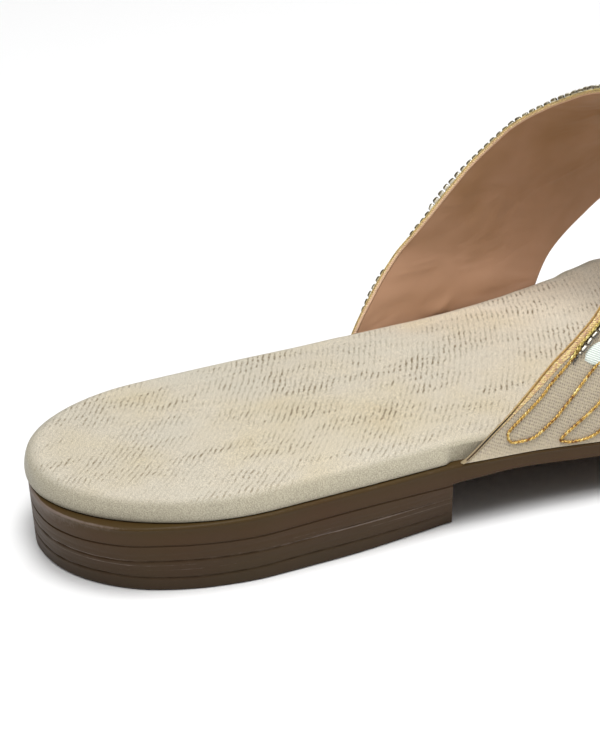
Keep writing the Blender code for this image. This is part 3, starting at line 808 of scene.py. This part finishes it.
def insole(material):
    """The padded insole: rings from its underside, up its wrapped side and over its top.

    The side follows the fold's rows, fuller at the outer side of the heel, and is drawn in
    where the band holds it. The inner edge is pressed down by the press table's drop, which
    fades out 11 mm in. Soft puckers run round the side as sines of the way along the edge.
    """
    points, normals = loop_points(whole_stations(64, 150))
    step = np.linalg.norm(np.roll(points, -1, axis=0) - points, axis=1)
    run = np.concatenate([[0.0], np.cumsum(step)[:-1]])
    pucker = np.sin(run / GATHER_PITCH * TAU + 1.3 * np.sin(run / 17.0)) * (0.55 + 0.45 * np.sin(run / 31.0))
    fine = np.sin(run / WRINKLE_PITCH * TAU + 2.0 * np.sin(run / 9.0)) * (0.5 + 0.5 * np.sin(run / 13.0))
    way = facing(normals)
    outer = points[:, 0] > along("swing", points[:, 1])
    first = np.where(outer, *edge_station("rear", [0.0, 180.0])) - 1.0
    last = np.where(outer, *edge_station("front", [0.0, 180.0])) + 1.0
    tucked = ease((points[:, 1] - first) / 2 + 1) * ease((last - points[:, 1]) / 3 + 1)
    plump = ease((way + 112) / 34) * (1 - ease((way - 60) / 60)) * (1 - 0.35 * hill(way, -32, 24))
    fullness = (0.40 + 0.60 * plump) * (1 - tucked)
    overhang = 0.45 * hill(way, -124, 34)
    drop = np.where(outer, 0.0, look_up(PRESS, "drop", points[:, 1]))
    rings = [inner_ring(points, share, lambda x, y: seat(x, y) + SEAM_LIFT) for share in (0, 0.5, 0.9)]
    top = [0.0] * len(rings)
    for place in np.linspace(0, 1, 24):
        bend, rise = (np.interp(place, np.linspace(0, 1, len(FOLD_ROWS)), column)
                      for column in zip(*FOLD_ROWS))
        ripple = (0.05 * pucker + 0.025 * fine) * np.sin(np.pi * place)
        out = np.where(bend > 0, bend * fullness, bend) - BAND_PULL * tucked + ripple
        height = rise * (INSOLE_THICKNESS - SEAM_LIFT - drop)
        rings.append(offset_ring(points, normals, out + overhang * (1 - place ** 3),
                                 lambda x, y: seat(x, y) + SEAM_LIFT + height))
        # top is low on the wrapped side, which the material darkens there as painted shade.
        top.append(0.12 + 0.88 * ease((place - 0.70) / 0.36))
    base = seat(points[:, 0], points[:, 1])
    for inward, dip in EDGE_DIP_ROWS:
        blend = ease((inward - 1.35) / 7.5)
        held = 1 - ease((inward - 2.0) / 9.0)
        level = (base + INSOLE_THICKNESS) * (1 - blend) - dip - drop * held
        rings.append(offset_ring(points, normals, -inward, lambda x, y: level + footbed(x, y) * blend))
    inset = 1 - 11.5 / along("half_width", points[:, 1])
    rings += [inner_ring(points, share * inset, footbed) for share in np.linspace(1, 0, 26)]
    top += [1.0] * (len(rings) - len(top))
    item = piece("padded_insole", np.array(rings).reshape(-1, 3), wall_faces(len(rings), len(points)),
                 material, "cream_fabric", marks={"top": np.repeat(top, len(points))},
                 replaces=("insole",), sharp=80.0)


# ---------------- band

CREASE_ROWS = (              # angle, station, their half widths, slant, rise
    (176.5, 94.8, 1.6, 2.6, 0.75, -0.28),
    (174.6, 93, 1.6, 3, 0.75, 0.16),
    (158.5, 103, 5, 7, 0.3, -0.35),
    (147.5, 104, 6, 8, 0.3, 0.35),
    (166, 99, 5, 7, -0.2, 0.3),
    (170.5, 114, 4, 7, -0.3, 0.3),
    (172.5, 90, 2.6, 9, -0.15, -0.25),
    (173.5, 106, 2.2, 7, -0.15, -0.22),
    (140, 118, 8, 9, 0.2, -0.3),
    (120, 128, 9, 12, 0, 0.3),
    (60, 134, 9, 12, 0, 0.3),
    (30, 112, 6, 9, 0.2, -0.3),
    (12, 97, 5, 8, -0.2, 0.25),
)
FOOT_GAP = 0.04
FACE_THICKNESS = 0.85
LAYER_GAP = 0.03             # between the woven face and the lining
BAND_STEPS = 70              # points from the band's rear edge to its front
MEASURED_AT = 105.0          # station where the way round the arch is measured
STRETCHED = 2.2              # height above the sole to which the weave is stretched
ARCH = np.concatenate([np.linspace(0, 20, 41)[:-1], np.linspace(20, 160, 121), np.linspace(160, 180, 41)[1:]])


def band_surface(angle, station):
    """The band's outer face.

    Across the foot it is a superellipse of exponent 1.95 whose width and ridge height follow
    the last, and whose top leans to the inner side.
    """
    angle = np.radians(angle)
    share = np.abs(np.sin(angle)) ** (2 / BAND_ROUNDNESS)
    spread = np.sign(np.cos(angle)) * np.abs(np.cos(angle)) ** (2 / BAND_ROUNDNESS)
    width = along("half_width", station) + SIDE_LEDGE
    middle = along("swing", station)
    x = middle + width * spread - RIDGE_SHIFT * share
    foot = seat(middle + width * np.sign(spread), station) + FOOT_GAP
    z = foot + (along("ridge", station) - foot) * share
    return np.stack(np.broadcast_arrays(x, station, z), -1)


def beside(angle, step):
    """The angles a small step below and above, kept on the arch."""
    return np.clip(angle - step, 0, 180), np.clip(angle + step, 0, 180)


def band_normal(angle, station):
    """Outward direction of the band's outer face, level at its two feet."""
    bend = 0.02
    low, high = beside(angle, bend)
    round_arch = band_surface(high, station) - band_surface(low, station)
    forward = band_surface(angle, station + bend) - band_surface(angle, station - bend)
    normal = np.cross(forward, round_arch)
    flat_foot = (angle <= 0) | (angle >= 180)
    normal[..., 2] = np.where(flat_foot, 0.0, normal[..., 2])
    return unit(normal)


def creases(angle, station):
    """Soft troughs and ridges of the band: a sum of bells, each slanted by its own amount."""
    total = np.zeros(np.broadcast(angle, station).shape)
    for middle, place, half_angle, half_station, slant, rise in CREASE_ROWS:
        across = (angle - middle) / half_angle
        along_band = (station - place) / half_station
        total = total + rise * np.exp(-(across + slant * along_band) ** 2 - along_band ** 2)
    return total


def on_band(angle, station, proud):
    """A point this far outside the band's creased outer face.

    The band is skived towards its rear edge: its outer face sinks over the last 5 mm, more on
    the inner side of the foot, and its lining rises a little. The edge itself sways in and out.
    """
    angle, station, proud = np.broadcast_arrays(angle, station, proud)
    held = ease(np.minimum(angle, 180 - angle) / 3.0)
    inside = (station - edge_station("rear", angle)) * squareness(angle, "rear")
    depth = np.clip(-proud / BAND_WALL, 0, 1)
    sink = (0.22 + 0.53 * ease((angle - 45) / 55)) * (1 - ease(inside / 5.0)) * (1 - depth)
    rise = 0.30 * (1 - ease(inside / 4.0)) * depth
    sway = look_up(SWAY, "lift", angle) * (1 - ease(inside / 9.0))
    lift = proud + (creases(angle, station) + sway) * held - sink + rise
    return band_surface(angle, station) + band_normal(angle, station) * lift[..., None]


def edge_station(which, angle):
    """Station of one of the band's edges at an angle."""
    return look_up(EDGE[which], "station", angle)


def squareness(angle, which):
    """Millimetres square to an edge for each millimetre of station."""
    bend = 0.05
    low, high = (band_surface(near, edge_station(which, near)) for near in beside(angle, bend))
    start = edge_station(which, angle)
    forward = (band_surface(angle, start + bend) - band_surface(angle, start - bend)) / (2 * bend)
    return np.linalg.norm(np.cross(unit(high - low), forward), axis=-1)


def from_edge(angle, distance, which="rear"):
    """Station of a point this far inside the band from one of its edges, square to it.

    The guide is the smooth line along the rear edge that the embroidery is laid out from.
    """
    way = -1 if which == "front" else 1
    return edge_station(which, angle) + way * distance / squareness(angle, which)


def closed_sheet(name, ring, uv, material, slot, **details):
    """A closed sheet of rings that go out along one face and come back along the other."""
    ring = even(ring)
    piece(name, ring.reshape(-1, 3), capped_faces(*ring.shape[:2]), material, slot,
          uv=even(uv).reshape(-1, 2), **details)


def there_and_back(values, back=None):
    """A grid's columns, and then those of its other face in the other order."""
    return np.concatenate([values, (values if back is None else back)[:, ::-1]], 1)


def band_layer(name, rear, front, outside, inside, edge_round, material, slot, **details):
    """A closed sheet of the band between two lines and two depths, its long edges rounded.

    Its flat coordinates are millimetres round the arch and along the foot.
    """
    station = rear[:, None] + (front - rear)[:, None] * np.linspace(0, 1, BAND_STEPS)
    angle = np.repeat(ARCH[:, None], station.shape[1], 1)
    edge = np.zeros(station.shape[1])
    edge[[0, -1]] = edge_round
    outer = on_band(angle, station, outside - edge)
    run = run_along(band_surface(ARCH, np.full(len(ARCH), MEASURED_AT)))
    uv = np.stack(np.broadcast_arrays(run[:, None], station), -1)
    foot = np.maximum(0, 1 - (outer[..., 2] - seat(outer[..., 0], station)) / STRETCHED)
    closed_sheet(name, there_and_back(outer, on_band(angle, station, inside + edge)), there_and_back(uv),
                 material, slot, marks={"foot": there_and_back(foot).ravel()}, sharp=60.0, **details)


def band_face(material):
    """The woven outer layer, from under the tape to the front edge."""
    band_layer("band_face", from_edge(ARCH, 0.35), from_edge(ARCH, 0.25, "front"), 0.0, -FACE_THICKNESS,
               0.12, material, "beige_weave", replaces=("upper",))


def band_lining(material):
    """The tan lining, which reaches 0.25 mm nearer the front edge than the woven layer."""
    band_layer("band_lining", from_edge(ARCH, 0.55), from_edge(ARCH, 0.0, "front"),
               -FACE_THICKNESS - LAYER_GAP, -BAND_WALL, 0.22, material, "tan_lining")


# ---------------- tape, cords and beads

TAPE_INSIDE = 0.42
TAPE_PROUD = 0.10
TAPE = table(
    "angle width",
    (0, 0.25), (4, 0.32), (6, 0.42), (9, 0.8), (12, 1.15), (16, 1.35), (90, 1.35),
)
CORD = table(
    "angle distance proud",
    (15, 1.75, 0.28), (16.2, 1.5, 0.34), (17.3, 1.2, 0.36), (22, 1.15, 0.36),
    (60, 1.15, 0.34), (105, 1.3, 0.1), (120, 1.3, 0.15), (130, 1.3, 0.36),
    (150, 0.8, 0.3), (158, 0.6, 0.2), (165, 0.85, 0.3), (171.5, 0.75, 0.25),
)
BEAD = table(
    "angle distance proud",
    (14, 2.75, 0.25), (15.4, 2.3, 0.3), (16.2, 2.1, 0.42), (18, 1.95, 0.46),
    (60, 2, 0.5), (115, 1.9, 0.7), (131, 1.85, 0.8), (136, 1.8, 1),
    (139, 1.6, 1.04), (143, 1.5, 0.95), (147, 1.2, 1.02), (151.5, 0.75, 1.2),
    (154.5, 0.75, 1.2), (157.5, 1.2, 0.95), (161, 1.3, 0.95), (163.5, 1.6, 0.85),
    (168, 1, 1.05), (172, 0.8, 1.1), (175.6, 1, 0.7),
)
KNOT = table(                # the string's knotted outer end: thickness and length of each bead
    "angle thick long",
    (14.35, 0.3, 0.4), (14.75, 0.36, 0.5), (15.3, 0.5, 0.5), (16, 0.9, 0.38),
)
BEAD_GAP = (164.0, 167.4)    # no beads here, where their string dips under the cord
BEAD_RADIUS = 0.47
BEAD_LENGTH = 1.22
BEAD_PITCH = 1.53
FIRST_BEAD = 16.8
LINE_POINTS = 1500
CORD_POINTS = 900
BEAD_PROFILE = np.array((    # radius and place along the bead, from the hole round to the hole
    (0.34, -0.36), (0.42, -0.5), (0.7, -0.48), (0.88, -0.4), (0.98, -0.22), (1, 0),
    (0.98, 0.22), (0.88, 0.4), (0.7, 0.48), (0.42, 0.5), (0.34, 0.36), (0.34, -0.36),
))
THREAD_RADIUS = 0.11
THREAD_SIDES = 6
STRAND_RADIUS = 0.17
STRAND_OFFSET = 0.13         # from a cord's middle to the middle of each strand
ARCH_SPACING = 2.2           # millimetres for a degree, roughly, where points are spaced on a line


def tape_profile(angle):
    """Cross-section of the tape folded over the rear edge: out along its face, round, and back."""
    width = look_up(TAPE, "width", np.minimum(angle, 180 - angle))
    front = TAPE_PROUD
    back = -BAND_WALL - 0.05
    outside = [(width * share, front) for share in (1.0, 0.7, 0.4)]
    bend = [(0.22 - 0.30 * np.sin(np.pi * t), front + (back - front) * t) for t in np.linspace(0, 1, 7)[1:-1]]
    inside = [(TAPE_INSIDE * share, back) for share in (0.5, 0.75, 1.0)]
    lining = [(TAPE_INSIDE * share, back + 0.3) for share in (1.0, 0.85, 0.7)]
    core = [(0.20, back + (front - back) * t) for t in (0.35, 0.6)]
    under = [(width * share, front - 0.2) for share in (0.45, 0.7, 1.0)]
    return outside + bend + inside + lining + core + under


def rear_tape(material):
    """The metallic tape that binds the band's rear edge: its cross-section, carried along it."""
    grid = np.stack([on_band(ARCH, from_edge(ARCH, distance), proud)
                     for distance, proud in tape_profile(ARCH)], 1)
    run = run_along(band_surface(ARCH, edge_station("rear", ARCH)))
    uv = np.stack(np.broadcast_arrays(run[:, None], np.arange(grid.shape[1]) * 0.35), -1)
    closed_sheet("rear_tape", grid, uv, material, "gold_binding", sharp=70.0, replaces=("topline_binding",))


def twisted(line, pitch, sides, steps):
    """Two strands wound round a line: each is the line plus a turning offset square to it."""
    length = run_along(line)
    place = np.linspace(0, length[-1], max(8, int(length[-1] / pitch * steps)))
    middle = np.stack([np.interp(place, length, line[:, k]) for k in range(3)], 1)
    tangent = unit(np.gradient(middle, axis=0))
    across = unit(np.cross(tangent, [[0.0, 0.3, 1.0]]))
    up = np.cross(across, tangent)
    parts = []
    for start in (0.0, np.pi):
        turn = (place / pitch * TAU + start)[:, None]
        offset = across * np.cos(turn) + up * np.sin(turn)
        parts.append(tube(middle + offset * STRAND_OFFSET, STRAND_RADIUS, sides))
    return gather(parts)


def edge_line(distance, proud, which="rear"):
    """A line that keeps one distance from an edge of the band."""
    angle = np.linspace(0.5, 179.5, CORD_POINTS)
    return on_band(angle, from_edge(angle, distance, which), proud)


def spaced(angle, distance, values, count):
    """Each array of values at even places along the line through these angles and distances."""
    step = np.linalg.norm(np.diff([angle, distance]).T * (ARCH_SPACING, 1.0), axis=1)
    knots = np.concatenate([[0], np.cumsum(step)])
    place = np.linspace(0, knots[-1], count)
    return [smooth(place, knots, column) for column in values]


def edge_thread(material):
    """The fine roll along the very edge of the tape, marked with its share of the way round."""
    line = edge_line(-0.05, -0.02)
    arch = np.repeat(np.concatenate([[0.0], np.linspace(0, 1, len(line)), [1.0]]), THREAD_SIDES)
    piece("edge_thread", *tube(line, THREAD_RADIUS, THREAD_SIDES), material, "gold_binding",
          marks={"arch": arch}, sharp=80.0)


def edge_cords(material):
    """Two-strand cords beside the tape and along the front edge."""
    angle, distance, proud = spaced(CORD["angle"], CORD["distance"], CORD.values(), CORD_POINTS)
    rear = on_band(angle, from_edge(angle, distance), proud)
    cords = [twisted(line, 1.7, 6, 8) for line in (rear, edge_line(1.0, 0.30, "front"))]
    piece("edge_cords", *gather(cords), material, "gold_binding", sharp=80.0)


def bead_line(angle):
    """Middle of the bead string at an angle, and the band's outward direction there."""
    station = from_edge(angle, look_up(BEAD, "distance", angle))
    return on_band(angle, station, look_up(BEAD, "proud", angle)), band_normal(angle, station)


def edge_beads(material):
    """Silver-lined glass beads strung along the rear edge: short drums with rounded ends.

    The streak mark is the cosine of three times the turn round a bead's axis: three bright streaks,
    which are painted highlights, and darker ends, painted shade where the beads meet. Past the
    ridge the beads are a little thicker, and their streaks fainter and their glass paler, in painted
    light. The string is knotted at its outer end, where the first bead is a thin ring.
    """
    angle = np.linspace(FIRST_BEAD, BEAD["angle"][-1], LINE_POINTS)
    length = run_along(bead_line(angle)[0])
    where = np.interp(np.arange(0, length[-1] / BEAD_PITCH) * BEAD_PITCH, length, angle)
    where = where[(where < BEAD_GAP[0]) | (where > BEAD_GAP[1])]
    rng = np.random.default_rng(7)
    thick = np.concatenate([KNOT["thick"], 1 + rng.normal(0, 0.03, len(where))])
    long = np.concatenate([KNOT["long"] * 0.8, 1 + rng.normal(0, 0.03, len(where))])
    where = np.concatenate([KNOT["angle"], where])
    past_ridge = ease((where - 75) / 30)
    thick = thick * (1 + 0.16 * past_ridge)
    middle, outward = bead_line(where)
    tangent = unit(unit(bead_line(where + 0.1)[0] - bead_line(where - 0.1)[0])
                   + rng.normal(0, 0.06, middle.shape))
    forward = unit(np.cross(tangent, outward))
    outward = np.cross(forward, tangent)
    axes = np.stack([outward * thick[:, None], forward * thick[:, None], tangent * long[:, None]], 2)
    turn = np.linspace(0, TAU, 24, endpoint=False)
    radius = BEAD_RADIUS * BEAD_PROFILE[:, :1]
    shape = np.stack([radius * np.cos(turn), radius * np.sin(turn),
                      np.repeat(BEAD_LENGTH * BEAD_PROFILE[:, 1:], len(turn), 1)], -1)
    points, faces = copies(shape.reshape(-1, 3), wall_faces(len(shape), len(turn)),
                           middle + rng.normal(0, 0.03, middle.shape), axes)
    rolled = 0.48 + rng.normal(0, 0.10, len(where))
    past_ridge = past_ridge[:, None, None]
    # Three bright streaks as painted highlights, and darker ends as painted shade where beads meet.
    lit = np.cos(3 * (turn + rolled[:, None, None])) - 0.8 * (BEAD_PROFILE[:, :1] < 0.8)
    # Past the ridge the beads are paler with fainter streaks: painted light.
    lit = lit * (1 - 0.4 * past_ridge) + 0.6 * past_ridge
    knotted = np.arange(len(where)) < len(KNOT["angle"]) - 1
    streak = (lit - 1.5 * knotted[:, None, None]).ravel()
    piece("edge_beads", points, faces, material, "smoke_beads", marks={"streak": streak},
          sharp=50.0, replaces=("bead_string",))


# ---------------- embroidery

COUCHED_ROWS = (             # (angle, distance from the guide) along each line
    ((30, 5.6), (20, 5.5), (13, 5.6), (10.6, 5.65), (8.6, 5.42), (6.8, 5.98), (5.1, 7),
     (3.6, 8.1), (2.5, 8.95), (2.15, 8.35), (2.1, 6.9), (2.5, 5.4), (3.1, 4.4), (3.9, 3.45),
     (5.7, 2.75), (7.3, 2.3), (9.1, 1.95), (11, 1.75), (13, 1.65), (15.6, 1.45), (17, 1.25)),
    ((30, 9.4), (20, 9), (12, 9.1), (8, 8.9), (6.5, 9.45), (5, 10.4), (3.6, 11.8),
     (2.2, 13.9), (1.3, 15.7), (1, 17.2), (0.75, 19.2), (0.95, 20.7), (1.6, 20.3),
     (2.6, 18), (4.2, 15.6), (7, 12.75), (12, 14.1), (20, 13.4), (30, 13.5)),
    ((30, 17), (20, 16.8), (13, 16.7), (10, 15.7), (8.5, 14.9), (7.2, 15.4),
     (6.4, 16.5), (6.3, 17.25), (7, 17.1), (8.2, 16.95), (10, 18.4), (13, 20.2),
     (20, 20.8), (30, 20.6)),
    [(angle, 5.6) for angle in np.linspace(30.0, 90.0, 31)],
    [(angle, 20.6) for angle in np.linspace(30.0, 90.0, 31)],
)
COUCHED_PROUD = 0.22
INNER_FOOT = 178.0           # where the inner foot's loops take their angles back from
SPRAY_ROWS = (               # turn, length and width of each leaf round a centre
    (20, 6.2, 2.9), (75, 5.4, 2.5), (-38, 5, 2.4), (128, 5.4, 2.5), (180, 5, 2.4),
    (-90, 4.8, 2.4),
)
SPRAY_DISTANCE = 13.0
SPRAY_SPIN = 2.1             # how far a spray is turned for each degree round the arch
LEAF_HEIGHT = 0.55
PETAL_ROWS = (               # angle and turn
    (14.7, 73), (165.3, 107),
)
PETAL_DISTANCE = 3.4
PETAL_SIZE = (9.5, 4.2, 0.5) # length, width and height
PETAL_SLANT = (0.77, 0.64)   # the way of the petals' threads, across and along them


def couched_lines(material):
    """Gold lines couched on the band: slender loops at each foot, and two lines over the arch."""
    parts = []
    for rows in COUCHED_ROWS:
        angle, distance = np.array(rows).T
        ahead = from_edge(angle, distance, "guide") - edge_station("guide", angle)
        outer, ahead = spaced(angle, distance, (angle, ahead), 300)
        for angle in (outer, INNER_FOOT - outer * (INNER_FOOT - 90) / 90):
            line = on_band(angle, edge_station("guide", angle) + ahead, COUCHED_PROUD)
            parts.append(twisted(line, 1.4, 5, 7))
    piece("couched_lines", *gather(parts), material, "gold_binding", sharp=80.0)


def leaf(angle, distance, turn, length, width, height):
    """A raised leaf: its width follows sin(pi t^0.8)^0.75, and its height a circle across.

    Returns its points, faces and flat coordinates. The leaf's base is at the given place, and
    turn is the way it points, in degrees from the way round the arch.
    """
    t = np.linspace(0, 1, 15)[:, None]
    s = np.linspace(-1, 1, 11)[None]
    forward = t * length + 0 * s
    aside = width / 2 * np.sin(np.pi * t ** 0.8) ** 0.75 * s
    mound = height * np.sqrt(np.clip(1 - s ** 2, 0, 1)) * np.sin(np.pi * t) ** 0.35
    turn = np.radians(turn)
    round_arch = forward * np.cos(turn) - aside * np.sin(turn)
    ahead = forward * np.sin(turn) + aside * np.cos(turn)
    start = from_edge(np.array([angle]), distance, "guide")[0]
    bend = 0.05
    pace = np.linalg.norm(band_surface(angle + bend, start) - band_surface(angle - bend, start)) / (2 * bend)
    where = angle + round_arch / pace
    top, low = (on_band(where, start + ahead, proud) for proud in (mound + 0.03, np.full(where.shape, -0.05)))
    grid = there_and_back(top, low)
    uv = there_and_back(np.stack([forward, aside], -1))
    return grid.reshape(-1, 3), wall_faces(len(grid), grid.shape[1]), uv.reshape(-1, 2)


def leaves(name, parts, uvs, material):
    """Leaves as one piece."""
    piece(name, *gather([part[:2] for part in parts]), material, "beige_weave",
          uv=np.concatenate(uvs), sharp=75.0)


def satin_leaves(material):
    """Five sprays of small leaves over the arch, each spray turned as it follows the arch round."""
    parts = [leaf(angle, SPRAY_DISTANCE, turn + angle * SPRAY_SPIN, length, width, LEAF_HEIGHT)
             for angle in (42.0, 66.0, 90.0, 114.0, 138.0) for turn, length, width in SPRAY_ROWS]
    leaves("satin_leaves", parts, [uv for _, _, uv in parts], material)


def edge_petals(material):
    """A larger petal beside the tape at each side, its threads laid on a slant."""
    parts = [leaf(angle, PETAL_DISTANCE, turn, *PETAL_SIZE) for angle, turn in PETAL_ROWS]
    across, lengthwise = PETAL_SLANT
    uvs = [np.stack([across * uv[:, 1] + way * lengthwise * uv[:, 0], uv[:, 0]], 1)
           for (_, _, uv), way in zip(parts, (-1, 1))]
    leaves("edge_petals", parts, uvs, material)


# ---------------- camera, floor and light

CAMERA_TARGET = np.array([0.0, 60.0, 10.0])
CAMERA_AZIMUTH = 64.835
CAMERA_ELEVATION = 22.063
CAMERA_ROLL = -3.577
CAMERA_SIDESTEP = (-9.902, 10.176)
CAMERA_DISTANCE = 600.0
CAMERA_LENS = 164.5
LIGHT_ROWS = (               # name, place in metres, size, power
    ("overhead", (0.22, -0.04, 1.28), 0.45, 7.9),
    ("outer_key", (0.57, -0.33, 1.24), 0.6, 10),
    ("outer_fill", (0.91, 0.76, 0.74), 0.7, 1.9),
    ("outer_low", (1.31, 0.23, 0.44), 0.6, 0.6),
    ("toe_fill", (0.34, 1.25, 0.52), 0.7, 6.8),
    ("heel_fill", (0.36, -0.98, 0.94), 0.6, 3),
    ("inner_fill", (-1.02, 0.18, 0.94), 0.9, 2.6),
)


def place_in_scene(name, data):
    """A new object that holds this data."""
    item = bpy.data.objects.new(name, data)
    bpy.context.scene.collection.objects.link(item)
    return item


def camera():
    """Looks at the heel from behind, on the outer side of the foot, rolled a little."""
    azimuth, elevation, roll = np.radians([CAMERA_AZIMUTH, CAMERA_ELEVATION, CAMERA_ROLL])
    back = np.array([np.sin(azimuth) * np.cos(elevation), -np.cos(azimuth) * np.cos(elevation),
                     np.sin(elevation)])
    right = unit(np.cross(-back, [0.0, 0.0, 1.0]))
    up = np.cross(right, -back)
    rolled_right = right * np.cos(roll) + up * np.sin(roll)
    rolled_up = -right * np.sin(roll) + up * np.cos(roll)
    eye = CAMERA_TARGET + back * CAMERA_DISTANCE
    eye = eye + rolled_right * CAMERA_SIDESTEP[0] + rolled_up * CAMERA_SIDESTEP[1] - CENTRE
    data = bpy.data.cameras.new("view")
    data.sensor_fit = "VERTICAL"
    data.sensor_height = 36.0
    data.lens = CAMERA_LENS
    data.clip_start = 0.01
    item = place_in_scene("view", data)
    turned = Matrix([rolled_right, rolled_up, back]).transposed().to_4x4()
    item.matrix_world = Matrix.Translation(Vector(eye * MM)) @ turned
    bpy.context.scene.camera = item


def studio():
    """A white floor lit by seven soft boxes, mostly from above the outer side, in a dark room."""
    _, finish = new_material("white_card", Roughness=1.0, Specular_IOR_Level=0.0)
    mesh = bpy.data.meshes.new("floor")
    mesh.from_pydata([(-3, -3, 0), (3, -3, 0), (3, 3, 0), (-3, 3, 0)], [], [(0, 1, 2, 3)])
    mesh.materials.append(finish(Base_Color=linear("F7F7F7")))
    place_in_scene("floor", mesh)
    world = bpy.data.worlds.new("surround")
    world.use_nodes = True
    fill(world.node_tree.nodes["Background"], {"Color": (1, 1, 1, 1), "Strength": 0.04})
    bpy.context.scene.world = world
    for name, place, size, power in LIGHT_ROWS:
        data = bpy.data.lights.new(name, "AREA")
        data.size = size
        data.energy = power
        item = place_in_scene(name, data)
        item.location = place
        item.rotation_euler = (-Vector(place)).to_track_quat("-Z", "Y").to_euler()
    bpy.context.scene.view_settings.view_transform = "Standard"


# ---------------- build

camera()
studio()
outsole(moulded_rubber())
insole(brushed_cotton_drill())
band_face(ribbed_weave())
band_lining(coated_lining())
rear_tape(metallic_tape())
edge_thread(rolled_gilt())
couched_lines(metallised_thread("gold_thread", "7C4E20", "C6A152", "F2E29C"))
edge_cords(metallised_thread("pale_gold_cord", "75602A", "CBB768", "F2E6AC"))
mint_floss = satin_stitch("mint_floss", "C0CEC2", "F2F8F2")
satin_leaves(mint_floss)
edge_petals(mint_floss)
edge_beads(silvered_glass())
